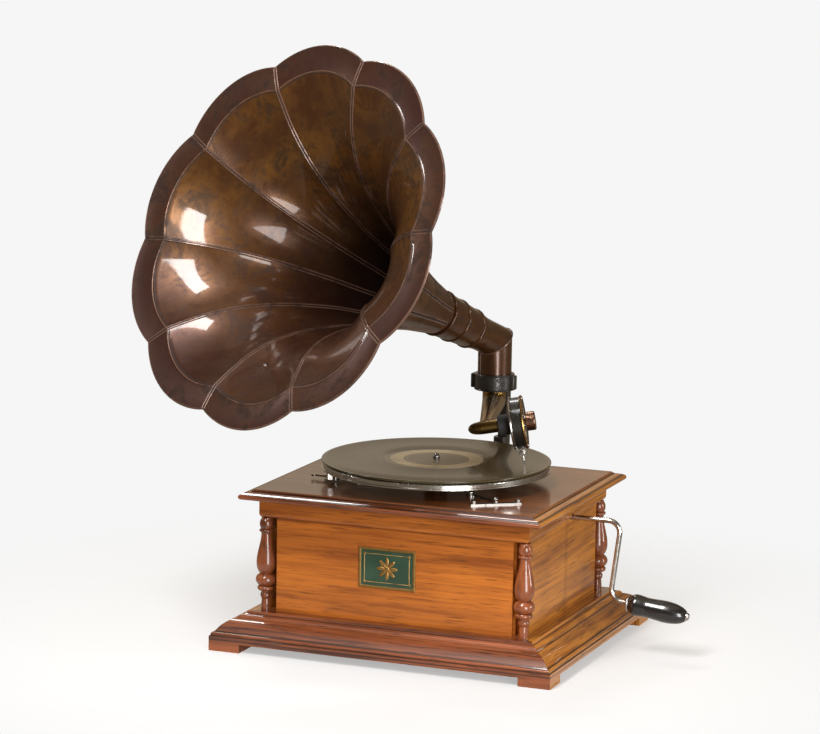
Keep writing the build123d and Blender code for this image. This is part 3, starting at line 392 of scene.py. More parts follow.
def plated(name, base, rough=0.16, wear=0.5, grime=(0.05, 0.04, 0.035), scale=60.0, shade_radius=0.0):
    """Plated metal with fine scratches and grime that dulls it; within an optional radius of the
    spindle it is painted near black, as painted shade under the record.
    """
    finish = Finish(name, Metallic=1.0)
    spot = finish.place()
    cloud = finish.noise(spot, scale, 4.0, 0.6, 0.4)
    scratch = finish.noise(finish.place((1, 1, 7)), scale * 14, 3.0, 0.7)
    dimmed = cloud.step(0.52, 0.72) * wear
    shade = finish.blend(dimmed, tuple(base), tuple(grime))
    # Painted shade: near black within the radius, under the record.
    if shade_radius:
        shade = finish.blend(finish.reach().step(shade_radius, shade_radius - 0.002), shade, UNDER_RECORD_SHADE)
    finish.feed(Base_Color=shade,
                Roughness=rough + dimmed * 0.35 + scratch * 0.10)
    finish.relief(scratch * 0.5 + cloud * 0.5, 0.00010, 0.25)
    return finish.material


def painted(name, base, rough=0.35, coat=0.3, grain=900.0, depth=0.00015):
    """Painted, moulded or rubber surface with a fine texture."""
    finish = Finish(name, Coat_Weight=coat, Coat_Roughness=0.15)
    spot = finish.place()
    cloud = finish.noise(spot, 40.0, 3.0)
    fine = finish.noise(spot, grain, 2.0)
    dust = tuple(min(1.0, c * 1.8 + 0.01) for c in base)
    finish.feed(Base_Color=finish.blend(cloud.step(0.45, 0.75) * 0.5, tuple(base), dust),
                Roughness=rough + cloud * 0.15)
    finish.relief(fine, depth, 0.5)
    return finish.material


# ------------------------------------------------------------------ mesh helpers
def settle(mesh_or_bm, name, body, materials, replaces=(), sharp=35):
    """Put a finished mesh in the scene, on its body, with its finish."""
    if isinstance(mesh_or_bm, bmesh.types.BMesh):
        mesh = bpy.data.meshes.new(name)
        mesh_or_bm.to_mesh(mesh)
        mesh_or_bm.free()
    else:
        mesh = mesh_or_bm
        mesh.name = name
    for material in materials:
        mesh.materials.append(material)
    mesh.shade_smooth()
    mesh.set_sharp_from_angle(angle=radians(sharp))
    piece = bpy.data.objects.new(name, mesh)
    bpy.context.scene.collection.objects.link(piece)
    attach(piece, body)
    if replaces:
        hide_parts(*replaces)
    return piece


def dress(names, material):
    """Give CAD nodes a finish."""
    for name in names:
        slots = frame["nodes"][name].data.materials
        for index in range(len(slots)):
            slots[index] = material
        if not slots:
            slots.append(material)


def facing(origin, axis, side=None):
    """A matrix whose Z lies along an axis, for placing a piece made upright at the origin."""
    z = Vector(axis).normalized()
    x = (Vector(side) if side else z.orthogonal())
    x = (x - z * x.dot(z)).normalized()
    y = z.cross(x)
    turned = Matrix((x, y, z)).transposed().to_4x4()
    return Matrix.Translation(origin) @ turned


def lathe(outline, steps, matrix):
    """Spin an outline of (radius, height) points about Z, then put it in place."""
    bm = bmesh.new()
    points = [bm.verts.new((r, 0, z)) for r, z in outline]
    edges = [bm.edges.new(pair) for pair in zip(points, points[1:])]
    bmesh.ops.spin(bm, geom=points + edges, cent=(0, 0, 0), axis=(0, 0, 1), dvec=(0, 0, 0),
                   angle=tau, steps=steps, use_merge=True)
    bmesh.ops.remove_doubles(bm, verts=bm.verts, dist=1e-6)
    bmesh.ops.recalc_face_normals(bm, faces=bm.faces)
    bmesh.ops.transform(bm, matrix=matrix, verts=bm.verts)
    return bm


def arc(centre, radius, start, end, steps):
    """Points of a round stretch of an outline, angles in degrees."""
    spread = [radians(start + (end - start) * i / steps) for i in range(steps + 1)]
    return [(centre[0] + radius * cos(a), centre[1] + radius * sin(a)) for a in spread]


def smooth_run(points, steps):
    """A smooth run through points given as vectors."""
    run = []
    last = len(points) - 1
    for i in range(last):
        before = points[max(i - 1, 0)]
        after = points[min(i + 2, last)]
        lead = points[i] + (points[i + 1] - before) / 6
        trail = points[i + 1] - (after - points[i]) / 6
        span = interpolate_bezier(points[i], lead, trail, points[i + 1], steps + 1)
        run.extend(span[:-1])
    return run + [points[-1]]


def tube_mesh(runs, radius, closed=False, sides=2):
    """One mesh of round wires along runs of points."""
    data = bpy.data.curves.new("wire", "CURVE")
    data.dimensions = "3D"
    data.bevel_depth = radius
    data.bevel_resolution = sides
    data.use_fill_caps = True
    for run in runs:
        line = data.splines.new("POLY")
        line.points.add(len(run) - 1)
        for point, place in zip(line.points, run):
            point.co = (*place, 1.0)
        line.use_cyclic_u = closed
    holder = bpy.data.objects.new("wire", data)
    bpy.context.scene.collection.objects.link(holder)
    mesh = bpy.data.meshes.new_from_object(holder)
    bpy.data.objects.remove(holder)
    return mesh


def ring(matrix, radius, height, steps=96):
    """Points round a circle about a matrix's Z."""
    return [matrix @ Vector((radius * cos(tau * i / steps), radius * sin(tau * i / steps), height))
            for i in range(steps)]


def block(bm, place, sides, bevel=0.0006, matrix=None):
    """A bevelled block added to a bmesh."""
    made = bmesh.ops.create_cube(bm, size=1.0)
    fit = (matrix or Matrix.Identity(4)) @ Matrix.Translation(place)
    bmesh.ops.transform(bm, matrix=fit @ Matrix.Diagonal((*sides, 1.0)), verts=made["verts"])
    edges = list({edge for vert in made["verts"] for edge in vert.link_edges})
    bmesh.ops.bevel(bm, geom=edges, offset=bevel, affect="EDGES", segments=3, profile=0.5,
                    material=-1)


def ball(bm, matrix, sides, segments):
    """A flattened ball added to a bmesh."""
    bmesh.ops.create_uvsphere(bm, u_segments=segments, v_segments=segments // 2, radius=1.0,
                              matrix=matrix @ Matrix.Diagonal((*sides, 1.0)))


def screw(bm, matrix, radius, height):
    """A slotted round-headed screw added to a bmesh."""
    middle = matrix @ Matrix.Translation((0, 0, height / 2))
    made = bmesh.ops.create_cone(bm, cap_ends=True, segments=24, radius1=radius, radius2=radius,
                                 depth=height, matrix=middle)
    top = [face for face in {f for v in made["verts"] for f in v.link_faces}
           if face.normal.dot(matrix.col[2].xyz) > 0.9]
    bmesh.ops.bevel(bm, geom=list(top[0].edges), offset=min(radius, height) * 0.45,
                    affect="EDGES", segments=3, profile=0.5, material=-1)
    block(bm, (0, 0, height), (radius * 1.7, radius * 0.22, height * 0.12), radius * 0.03, matrix)


# ------------------------------------------------------------------ horn
class Horn:
    """Places on the horn, from its properties"""

    def __init__(self, looks):
        base = pivot("horn_swivel")
        self.elbow = Vector((base.x, base.y, looks.elbow_height))
        self.axis = Vector((-sin(looks.yaw) * cos(looks.pitch), -cos(looks.yaw) * cos(looks.pitch),
                            sin(looks.pitch)))
        self.mouth = self.elbow + self.axis * looks.length
        self.right = Vector((cos(looks.yaw), -sin(looks.yaw), 0))
        self.up = self.axis.cross(self.right)
        self.step = tau / looks.petals

    def at(self, angle, radius, depth):
        """A point at an angle round the axis, a radius and a depth behind the mouth."""
        out = self.right * cos(angle) + self.up * sin(angle)
        return self.mouth + out * radius - self.axis * depth

    def where(self, point):
        """The angle, radius and depth of a point."""
        offset = point - self.mouth
        depth = -offset.dot(self.axis)
        flat = offset + self.axis * depth
        return atan2(flat.dot(self.up), flat.dot(self.right)), flat.length, depth


FLARE = [(0.1755, 0.0), (0.1415, 0.020), (0.1180, 0.040), (0.1010, 0.060), (0.0820, 0.090),
         (0.0680, 0.120), (0.0560, 0.150), (0.0485, 0.176), (0.0340, 0.228), (0.0252, 0.270)]
FLUTE_END = 0.250


def flute(looks, depth):
    """How far a petal swells between its seams at a depth, as a share of its radius."""
    open_share = looks.crease_middle / looks.crease_seam - 1
    return open_share * max(0.0, 1 - depth / FLUTE_END) ** 0.8


def flare_points():
    """The bell's outline at a seam, from the neck to the crease, as (radius, depth)."""
    run = smooth_run([Vector((r, s, 0)) for r, s in reversed(FLARE)], 5)
    return [(p.x, p.y) for p in run]


def flange_points(looks, rows=6):
    """The flange's outline at a seam, from the crease to the rim, as (radius, depth)."""
    width = looks.rim_seam - looks.crease_seam
    return [(looks.crease_seam + width * i / rows, -looks.rim_rise * sin(pi / 2 * i / rows))
            for i in range(1, rows + 1)]


class PHONO_OT_horn_petals(bpy.types.Operator):
    """Ten fluted petals with a flat flange round the mouth"""
    bl_idname = "phono.horn_petals"
    bl_label = "Horn petals"

    def execute(self, context):
        looks = context.scene.phono_horn
        horn = Horn(looks)
        # The bell is painted near black from 0.05 m to 0.24 m behind the mouth: painted shade deep
        # in the bell.
        bell = patinated_sheet("horn_bell_patina_and_shade", looks, horn, looks.brown, 1.0, (0.05, 0.24))
        flange = patinated_sheet("horn_flange_patina", looks, horn, looks.plum, 0.25)
        back = patinated_sheet("horn_back_patina", looks, horn, looks.brown, 0.6)
        width = looks.rim_seam - looks.crease_seam
        line = flare_points() + flange_points(looks)
        for petal in range(looks.petals):
            start = looks.first_rib + horn.step * petal
            bm = bmesh.new()
            points = [bm.verts.new(horn.at(start, r, s)) for r, s in line]
            edges = [bm.edges.new(pair) for pair in zip(points, points[1:])]
            bmesh.ops.spin(bm, geom=points + edges, cent=horn.mouth, axis=horn.axis,
                           dvec=(0, 0, 0), angle=horn.step, steps=20, use_merge=False)
            middle = start + horn.step / 2
            for vert in bm.verts:
                angle, radius, depth = horn.where(vert.co)
                off = (angle - middle + pi) % tau - pi
                lobe = max(0.0, 1 - (2 * off / horn.step) ** 2)
                if radius > looks.crease_seam + 1e-5:
                    part = (radius - looks.crease_seam) / width
                    crease = looks.crease_seam + (looks.crease_middle - looks.crease_seam) * lobe
                    rim = looks.rim_seam + (looks.rim_middle - looks.rim_seam) * lobe
                    radius = crease + (rim - crease) * part
                else:
                    radius *= 1 + flute(looks, depth) * lobe
                vert.co = horn.at(angle, radius, depth)
            if self.turned_in(bm, horn):
                bmesh.ops.reverse_faces(bm, faces=bm.faces)
            bmesh.ops.solidify(bm, geom=bm.faces[:], thickness=looks.sheet)
            bm.normal_update()
            for face in bm.faces:
                if face.normal.dot(horn.axis) < 0:
                    face.material_index = 2
                elif horn.where(face.calc_center_median())[2] < 0.0:
                    face.material_index = 1
            node = "horn_petal_%02d" % (petal + 1)
            settle(bm, "petal_%02d" % (petal + 1), "horn", (bell, flange, back),
                   (node,), 22)
        return {"FINISHED"}

    @staticmethod
    def turned_in(bm, horn):
        """Whether the sheet's faces look away from the listener."""
        total = sum(face.normal.dot(horn.axis) * face.calc_area() for face in bm.faces)
        return total > 0


class PHONO_OT_horn_seams(bpy.types.Operator):
    """Rolled double seams, the crease bead and the wired rim"""
    bl_idname = "phono.horn_seams"
    bl_label = "Horn seams"

    def execute(self, context):
        looks = context.scene.phono_horn
        horn = Horn(looks)
        seam = patinated_sheet("horn_seam_patina", looks, horn, looks.bead, 0.0)
        soot_and_shade = painted("horn_fold_soot", looks.soot_and_shade, 0.5, 0.2)
        for petal in range(looks.petals):
            rib = looks.first_rib + horn.step * petal
            line = flare_points()[1:] + flange_points(looks)
            runs = [[horn.at(rib + side * looks.seam_gap / r, r, s - 0.0003) for r, s in line]
                    for side in (-1, 1)]
            settle(tube_mesh(runs, looks.seam_wire), "horn_seam_%02d" % (petal + 1), "horn",
                   (seam,))
            # A dark wire along each seam, between its beads: painted shade in the seam's groove.
            fold = [horn.at(rib, r, s - 0.0003) for r, s in line]
            settle(tube_mesh([fold], looks.seam_wire * 0.75), "horn_fold_%02d" % (petal + 1),
                   "horn", (soot_and_shade,))
        around = looks.petals * 20
        rim = []
        crease = []
        groove = []
        for i in range(around):
            angle = looks.first_rib + tau * i / around
            off = (i / 20) % 1.0 * 2 - 1
            lobe = 1 - off * off
            rim_r = looks.rim_seam + (looks.rim_middle - looks.rim_seam) * lobe
            crease_r = looks.crease_seam + (looks.crease_middle - looks.crease_seam) * lobe
            rim.append(horn.at(angle, rim_r, looks.sheet / 2 - looks.rim_rise))
            crease.append(horn.at(angle, crease_r + 0.0006, -0.0003))
            groove.append(horn.at(angle, crease_r - 0.0013, 0.0006))
        settle(tube_mesh([rim], looks.rim_wire, True, 3), "horn_rim_wire", "horn",
               (seam,))
        settle(tube_mesh([crease], looks.seam_wire, True, 3), "horn_crease_bead", "horn",
               (seam,))
        # A dark wire just inside the crease: painted shade along the crease.
        settle(tube_mesh([groove], looks.seam_wire, True, 3), "horn_crease_groove", "horn",
               (soot_and_shade,))
        return {"FINISHED"}


class PHONO_OT_horn_neck(bpy.types.Operator):
    """Neck, elbow pipe and the seam up its side"""
    bl_idname = "phono.horn_neck"
    bl_label = "Horn neck"

    def execute(self, context):
        looks = context.scene.phono_horn
        horn = Horn(looks)
        skin = patinated_sheet("horn_neck_patina", looks, horn, looks.brown, 0.6)
        bead = patinated_sheet("horn_solder_patina", looks, horn, looks.bead, 0.0)
        dress(("horn_throat", "horn_elbow"), skin)
        low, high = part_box("horn_elbow")
        pipe = (high.x - low.x) / 2
        runs = []
        for angle in (radians(-127), radians(-138)):
            side = Vector((cos(angle), sin(angle), 0)) * pipe
            foot = Vector((horn.elbow.x, horn.elbow.y, low.z + 0.0098)) + side
            plane = horn.axis + UP
            rise = -side.dot(plane) / plane.z
            runs.append([foot, Vector((foot.x, foot.y, horn.elbow.z + rise))])
        settle(tube_mesh(runs, 0.0008), "elbow_seam", "horn", (bead,))
        rim = list(self.mitre_ring(horn, pipe))
        settle(tube_mesh([rim], 0.0009, True), "elbow_solder_bead", "horn", (bead,))
        return {"FINISHED"}

    @staticmethod
    def mitre_ring(horn, pipe):
        """Points round the joint of the upright pipe and the neck."""
        plane = horn.axis + UP
        for i in range(96):
            angle = tau * i / 96
            side = Vector((cos(angle), sin(angle), 0)) * pipe
            yield horn.elbow + side - UP * (side.dot(plane) / plane.z)


# ------------------------------------------------------------------ case
class PHONO_OT_case(bpy.types.Operator):
    """Lacquered case with turned columns"""
    bl_idname = "phono.case"
    bl_label = "Case"

    def execute(self, context):
        looks = context.scene.phono_wood
        panel = (looks.panel_light, looks.panel_dark)
        # The side pair is a lit copy of the case wood: painted light on the side panels, the base
        # and the side lengths of the mouldings.
        flank = (looks.lit_side_light, looks.lit_side_dark)
        trim = (looks.trim_light, looks.trim_dark)
        front = lacquered_wood("front_panel_wood", *panel, "X", 0.35)
        dress(("front_panel", "back_panel"), front)
        dress(("left_panel", "right_panel"), lacquered_wood("side_panel_wood", *flank, "Y", 0.35))
        dress(("top_board",), lacquered_wood("top_board_wood", looks.top_light, looks.top_dark,
                                             "X", 0.9, 0.13, figure=0.5))
        dress(["column_%s_%s" % (end, hand) for end in ("front", "back")
               for hand in ("left", "right")],
              lacquered_wood("column_wood", *trim, "Z", 1.0, figure=0.6))
        dress(("corner_posts",), lacquered_wood("corner_wood", *panel, "Z", 0.2))
        dress(("bottom_board",), lacquered_wood("base_wood", *flank, "X", 0.0))
        # The insets and levels place painted shade lines in each moulding's creases; side lengths
        # take the lit side colours.
        dress(("top_moulding",), lacquered_wood("top_moulding_wood", *trim, "top_moulding", 1.0,
                                                sides=flank, insets=(0.0112,), levels=(0.1712,)))
        dress(("plinth", "feet"), lacquered_wood("plinth_wood", *trim, "plinth", 1.0, sides=flank,
                                                 figure=1.6, levels=(0.0128, 0.0168),
                                                 insets=(0.0049, 0.0226, 0.0306, 0.0350, 0.0395)))
        dress(("frieze",), lacquered_wood("frieze_wood", *panel, "frieze", 0.5, sides=flank,
                                          levels=(0.1646, 0.1440)))
        return {"FINISHED"}


class PHONO_OT_badge(bpy.types.Operator):
    """Enamelled badge with a plain rosette"""
    bl_idname = "phono.badge"
    bl_label = "Badge"

    def execute(self, context):
        looks = context.scene.phono_metal
        gilt = plated("badge_gilt", looks.gilt, 0.30, 0.7, (0.07, 0.03, 0.012), 220.0)
        enamel = painted("badge_enamel", looks.enamel, 0.22, 0.8)
        dress(("badge_frame",), gilt)
        dress(("badge_plate",), enamel)
        low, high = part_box("badge_plate")
        middle = Vector(((low.x + high.x) / 2, low.y, (low.z + high.z) / 2))
        face = facing(middle, (0, -1, 0), (1, 0, 0))
        bm = bmesh.new()
        petals = 8
        for i in range(petals):
            spoke = Matrix.Rotation(tau * i / petals, 4, "Z") @ Matrix.Translation((0.0072, 0, 0))
            ball(bm, face @ spoke, (0.0052, 0.0021, 0.0008), 20)
        ball(bm, face, (0.0030, 0.0030, 0.0012), 24)
        inset = 0.004
        wide = (high.x - low.x) / 2 - inset
        tall = (high.z - low.z) / 2 - inset
        corners = [(-wide, -tall), (wide, -tall), (wide, tall), (-wide, tall)]
        for x, y in corners:
            ball(bm, face @ Matrix.Translation((x, y, 0)), (0.0015, 0.0015, 0.0007), 16)
        settle(bm, "badge_rosette", "cabinet", (gilt,))
        run = [face @ Vector((x, y, 0.0001)) for x, y in corners]
        settle(tube_mesh([run], 0.0004, True), "badge_border_line", "cabinet",
               (gilt,))
        return {"FINISHED"}


# ------------------------------------------------------------------ turntable
class PHONO_OT_turntable(bpy.types.Operator):
    """Platter, mat and spindle"""
    bl_idname = "phono.turntable"
    bl_label = "Turntable"

    def execute(self, context):
        disc = context.scene.phono_disc
        metal = context.scene.phono_metal
        # Within 0.105 m of the spindle the platter is painted near black: painted shade under the
        # record.
        nickel = plated("platter_nickel", metal.nickel, 0.16, 0.7, (0.20, 0.17, 0.15), 26.0,
                        0.105)
        dress(("platter",), nickel)
        steel = Finish("spindle_steel", Metallic=1.0, Roughness=0.25)
        # Below the record's top the spindle is painted near black: painted shade in the record's
        # hole.
        above = steel.axis(steel.place(), "Z").step(RECORD_TOP - 0.002, RECORD_TOP - 0.001)
        steel.feed(Base_Color=steel.blend(above, UNDER_RECORD_SHADE, BRIGHT_STEEL))
        dress(("spindle",), steel.material)
        felt = Finish("mat_felt", Roughness=0.95, Sheen_Weight=0.4)
        cloud = felt.noise(felt.place(), 900.0, 3.0)
        felt.feed(Base_Color=felt.blend(cloud, tuple(disc.felt), FELT_DARK))
        felt.relief(cloud, 0.0004)
        dress(("felt_mat",), felt.material)
        low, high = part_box("platter")
        rim = (high.x - low.x) / 2 - 0.0012
        row = low.z + (high.z - low.z) * 0.80
        bm = bmesh.new()
        for i in range(disc.rim_dots):
            angle = tau * i / disc.rim_dots
            out = Vector((cos(angle), sin(angle), 0))
            spot = Vector((SPINDLE.x, SPINDLE.y, row)) + out * rim
            bmesh.ops.create_cone(bm, cap_ends=True, segments=8, radius1=0.0007, radius2=0.0005,
                                  depth=0.0005, matrix=facing(spot, out))
        settle(bm, "platter_rim_dots", "turntable",
               (painted("rim_dot_black", (0.01, 0.01, 0.01)),))
        return {"FINISHED"}


class PHONO_OT_record(bpy.types.Operator):
    """Grooved disc with a plain paper label"""
    bl_idname = "phono.record"
    bl_label = "Record"

    def execute(self, context):
        looks = context.scene.phono_disc
        low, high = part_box("record")
        outer = (high.x - low.x) / 2
        hole = 0.0036
        groove_out = outer - 0.0045
        groove_in = looks.label_outer + 0.006
        rise = 0.0002
        outline = [(hole, low.z), (outer - 0.0008, low.z)]
        outline += arc((outer - 0.0009, low.z + 0.0009), 0.0009, -60, 90, 8)
        outline += [(groove_out + 0.001, high.z), (groove_out, high.z - rise),
                    (groove_in, high.z - rise), (groove_in - 0.001, high.z),
                    (looks.label_outer, high.z - rise), (hole, high.z - rise), (hole, low.z)]
        bm = lathe(outline, 180, ON_SPINDLE)
        shellac = Finish("record_shellac", Coat_Weight=0.55, Coat_Roughness=0.12,
                         Specular_IOR_Level=0.5)
        radius = shellac.reach()
        bands = shellac.node("ShaderNodeTexNoise", {"noise_dimensions": "1D"},
                             {"W": radius, "Scale": 420.0, "Detail": 4.0})
        grooves = (radius * (tau / 0.0009)).math("SINE")
        cut = radius.step(groove_in, groove_in + 0.001) * (1 - radius.step(groove_out,
                                                                       groove_out + 0.001))
        dust = shellac.noise(shellac.place(), 30.0, 4.0)
        pale = tuple(c * 2.1 for c in looks.shellac)
        shellac.feed(Base_Color=shellac.blend(bands * 0.6 + dust * 0.3, tuple(looks.shellac), pale),
                     Roughness=0.26 + bands * 0.16 * cut)
        shellac.relief(grooves * cut, 0.00003, 0.35)
        settle(bm, "record_disc", "turntable", (shellac.material,), ("record",), 30)
        self.label(looks, high.z - rise, hole)
        return {"FINISHED"}

    @staticmethod
    def label(looks, base, hole):
        """A pale ring and a darker centre, without lettering."""
        thick = 0.00016
        outline = [(hole, base), (looks.label_outer, base), (looks.label_outer, base + thick),
                   (hole, base + thick), (hole, base)]
        bm = lathe(outline, 128, ON_SPINDLE)
        paper = Finish("label_paper", Coat_Weight=0.35, Coat_Roughness=0.25)
        radius = paper.reach()
        ring = radius.step(looks.label_inner - 0.0003, looks.label_inner + 0.0003)
        line = (1 - abs(radius - looks.label_inner * 0.90).step(0.0002, 0.0005)) * 0.5
        fibre = paper.noise(paper.place(), 240.0, 4.0)
        stain = paper.noise(paper.place(), 38.0, 3.0)
        base_shade = paper.blend(ring, tuple(looks.paper), tuple(looks.ring))
        lined = paper.blend(line, base_shade, tuple(looks.ring))
        aged = paper.blend(stain.step(0.4, 0.8) * 0.35 + fibre * 0.15, lined, FOXING)
        paper.feed(Base_Color=aged, Roughness=0.42 + fibre * 0.2)
        paper.relief(fibre, 0.00008, 0.4)
        settle(bm, "record_label", "turntable", (paper.material,))


# ------------------------------------------------------------------ fittings
class PHONO_OT_controls(bpy.types.Operator):
    """Brake and speed regulator on the top board"""
    bl_idname = "phono.controls"
    bl_label = "Brake and speed lever"

    def execute(self, context):
        metal = context.scene.phono_metal
        # The brake and the lever take the darker nickel: painted shade against the light on them.
        nickel = plated("control_nickel", metal.dimmed, 0.16, 0.6, (0.08, 0.07, 0.06), 160.0)
        dress(("brake_base", "brake_lever", "speed_scale", "speed_lever"), nickel)
        bm = bmesh.new()
        lever = pivot("speed_lever_swing")
        brake = pivot("brake_swing")
        screw(bm, facing((lever.x, lever.y, TOP + 0.0038), UP), 0.0032, 0.0016)
        screw(bm, facing((brake.x, brake.y, TOP + 0.0050), UP, (1, 1, 0)), 0.0034, 0.0018)
        settle(bm, "pivot_screws", "cabinet", (nickel,))
        bm = bmesh.new()
        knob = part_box("speed_lever")
        tip = Vector((knob[1].x - 0.0028, knob[0].y + 0.0028, knob[1].z - 0.0012))
        ball(bm, Matrix.Translation(tip), (0.0032, 0.0032, 0.0022), 32)
        settle(bm, "speed_knob", "speed_lever", (nickel,))
        return {"FINISHED"}


class PHONO_OT_crank(bpy.types.Operator):
    """Bent crank with a black grip"""
    bl_idname = "phono.crank"
    bl_label = "Crank"

    def execute(self, context):
        metal = context.scene.phono_metal
        steel = plated("crank_nickel", metal.nickel, 0.16, 0.7, (0.20, 0.12, 0.08), 48.0)
        dress(("crank_rod", "grip_nut"), steel)
        joint = JOINTS["grip_spin"]
        start = Vector(joint["pos_m"])
        axis = Vector(joint["axis"]).normalized()
        if axis.x < 0:
            axis = -axis
        length = 0.0645
        bore = 0.0030
        shape = [(0.0084, 0.0), (0.0094, 0.0010), (0.0118, 0.006), (0.0115, 0.013),
                 (0.0108, 0.020), (0.0113, 0.030), (0.0119, 0.040), (0.0113, 0.050),
                 (0.0090, 0.059), (0.0056, length)]
        run = [(p.x, p.y) for p in smooth_run([Vector((r, h, 0)) for r, h in shape], 5)]
        bm = lathe([(bore, 0.0), *run, (bore, length), (bore, 0.0)], 48, facing(start, axis))
        lacquer = Finish("grip_lacquer", Coat_Weight=1.0, Coat_Roughness=0.08)
        spot = lacquer.place()
        chips = lacquer.noise(spot, 90.0, 5.0, 0.6)
        marked = chips.step(0.60, 0.70)
        lacquer.feed(Base_Color=lacquer.blend(marked * 0.5, tuple(metal.lacquer), CHIP),
                     Roughness=0.25 + marked * 0.3)
        lacquer.relief(chips, 0.0003, 0.3)
        settle(bm, "crank_handle", "crank_grip", (lacquer.material,),
               ("crank_grip",))
        bm = lathe([(0.0031, 0), (0.0075, 0), *arc((0.0075, 0.0016), 0.0016, -90, 90, 6),
                    (0.0031, 0.0032), (0.0031, 0)], 40, facing(start - axis * 0.0034, axis))
        settle(bm, "grip_ferrule", "crank", (steel,))
        return {"FINISHED"}


class PHONO_OT_bracket(bpy.types.Operator):
    """Black casting with its lugs and screws"""
    bl_idname = "phono.bracket"
    bl_label = "Bracket"

    def execute(self, context):
        metal = context.scene.phono_metal
        iron = painted("bracket_paint", metal.iron, 0.32, 0.45, 260.0, 0.0005)
        nickel = plated("bracket_screw_nickel", metal.nickel, 0.2, 0.5)
        dress(("horn_bracket",), iron)
        dress(("bracket_screws",), nickel)
        base = pivot("horn_swivel")
        ring_low, ring_high = 0.249, 0.268
        middle = (ring_low + ring_high) / 2
        bm = bmesh.new()
        for side in (-1, 1):
            spot = Vector((base.x + side * 0.0235, base.y - 0.002, middle))
            block(bm, spot, (0.0060, 0.0110, 0.0165), 0.0012)
        settle(bm, "collar_lugs", "cabinet", (iron,))
        upright = Matrix.Translation((base.x, base.y, 0))
        bands = [ring(upright, 0.0223, height, 72)
                 for height in (ring_low + 0.0012, ring_high - 0.0012)]
        settle(tube_mesh(bands, 0.0011, True), "collar_beads", "cabinet", (iron,))
        bm = bmesh.new()
        for angle, height in ((-58, middle + 0.004), (-58, middle - 0.0045), (-42, middle)):
            out = Vector((cos(radians(angle)), sin(radians(angle)), 0))
            spot = Vector((base.x, base.y, height)) + out * 0.0220
            screw(bm, facing(spot, out), 0.0021, 0.0018)
        settle(bm, "collar_screws", "cabinet", (iron,))
        bm = bmesh.new()
        for corner in self.screw_corners():
            screw(bm, facing(corner, (0, 1, 0)), 0.0042, 0.0024)
        settle(bm, "bracket_screw_heads", "cabinet", (nickel,), ("bracket_screws",))
        return {"FINISHED"}

    @staticmethod
    def screw_corners():
        """The centres of the four screw heads on the bracket's foot."""
        low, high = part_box("bracket_screws")
        head = 0.0042
        depth = high.y - 0.0024
        for x in (low.x + head, high.x - head):
            for z in (low.z + head, high.z - head):
                yield Vector((x, depth, z))


class PHONO_OT_tonearm(bpy.types.Operator):
    """Brass tonearm and its gooseneck"""
    bl_idname = "phono.tonearm"
    bl_label = "Tonearm"

    def execute(self, context):
        metal = context.scene.phono_metal
        brass = plated("arm_brass", metal.brass, 0.17, 0.75, (0.10, 0.055, 0.02), 34.0)
        bronze = plated("gooseneck_bronze", metal.bronze, 0.30, 0.7, (0.05, 0.035, 0.015), 70.0)
        dress(("tonearm",), brass)
        dress(("gooseneck",), bronze)
        return {"FINISHED"}


class PHONO_OT_sound_box(bpy.types.Operator):
    """Sound box with bright rims, mica, needle bar and knob"""
    bl_idname = "phono.sound_box"
    bl_label = "Sound box"

    def execute(self, context):
        metal = context.scene.phono_metal
        black = painted("sound_box_black", metal.iron, 0.25, 0.7, 500.0)
        nickel = plated("sound_box_nickel", metal.nickel, 0.14, 0.4, (0.10, 0.08, 0.06), 120.0)
        brass = plated("sound_box_brass", metal.brass, 0.2, 0.5, (0.12, 0.07, 0.03), 90.0)
        copper = plated("knob_copper", metal.copper, 0.2, 0.5, (0.08, 0.04, 0.02), 90.0)
        rubber = painted("rubber_sleeve", RUBBER, 0.6, 0.0, 700.0)
        mica = Finish("mica", Roughness=0.2, Coat_Weight=0.6)
        cloud = mica.noise(mica.place(), 60.0, 4.0)
        mica.feed(Base_Color=mica.blend(cloud, MICA_LIGHT, MICA_DARK))
        dress(("sound_box_shell",), black)
        dress(("rubber_sleeve",), rubber)
        dress(("diaphragm",), mica.material)
        dress(("sound_box_knob",), copper)
        dress(("needle_holder",), nickel)
        dress(("needle",), plated("needle_steel", metal.nickel, 0.1, 0.1))
        joint = JOINTS["sound_box_lift"]
        axis = -Vector(joint["axis"]).normalized()
        centre = Vector(joint["pos_m"]) + axis * 0.037
        radius = 0.029
        half = 0.0075
        fit = facing(centre, axis)
        for name, height, finish, wire in (("front_rim", half - 0.0009, brass, 0.0013),
                                           ("back_rim", 0.0009 - half, nickel, 0.0013)):
            settle(tube_mesh([ring(fit, radius - 0.0006, height)], wire, True, 3),
                   "sound_box_" + name, "sound_box", (finish,))
        bm = lathe([(radius - 0.0081, 0.0023), (radius - 0.0052, 0.0023),
                    (radius - 0.0052, 0.0055), *arc((radius - 0.0066, 0.0055), 0.0014, 0, 180, 8),
                    (radius - 0.0081, 0.0023)], 96, fit)
        settle(bm, "diaphragm_ring", "sound_box", (nickel,))
        bm = bmesh.new()
        for i in range(4):
            angle = radians(45 + 90 * i)
            spot = fit @ Vector((0.0262 * cos(angle), 0.0262 * sin(angle), half))
            screw(bm, facing(spot, axis), 0.0016, 0.0010)
        settle(bm, "sound_box_screws", "sound_box", (nickel,))
        return {"FINISHED"}


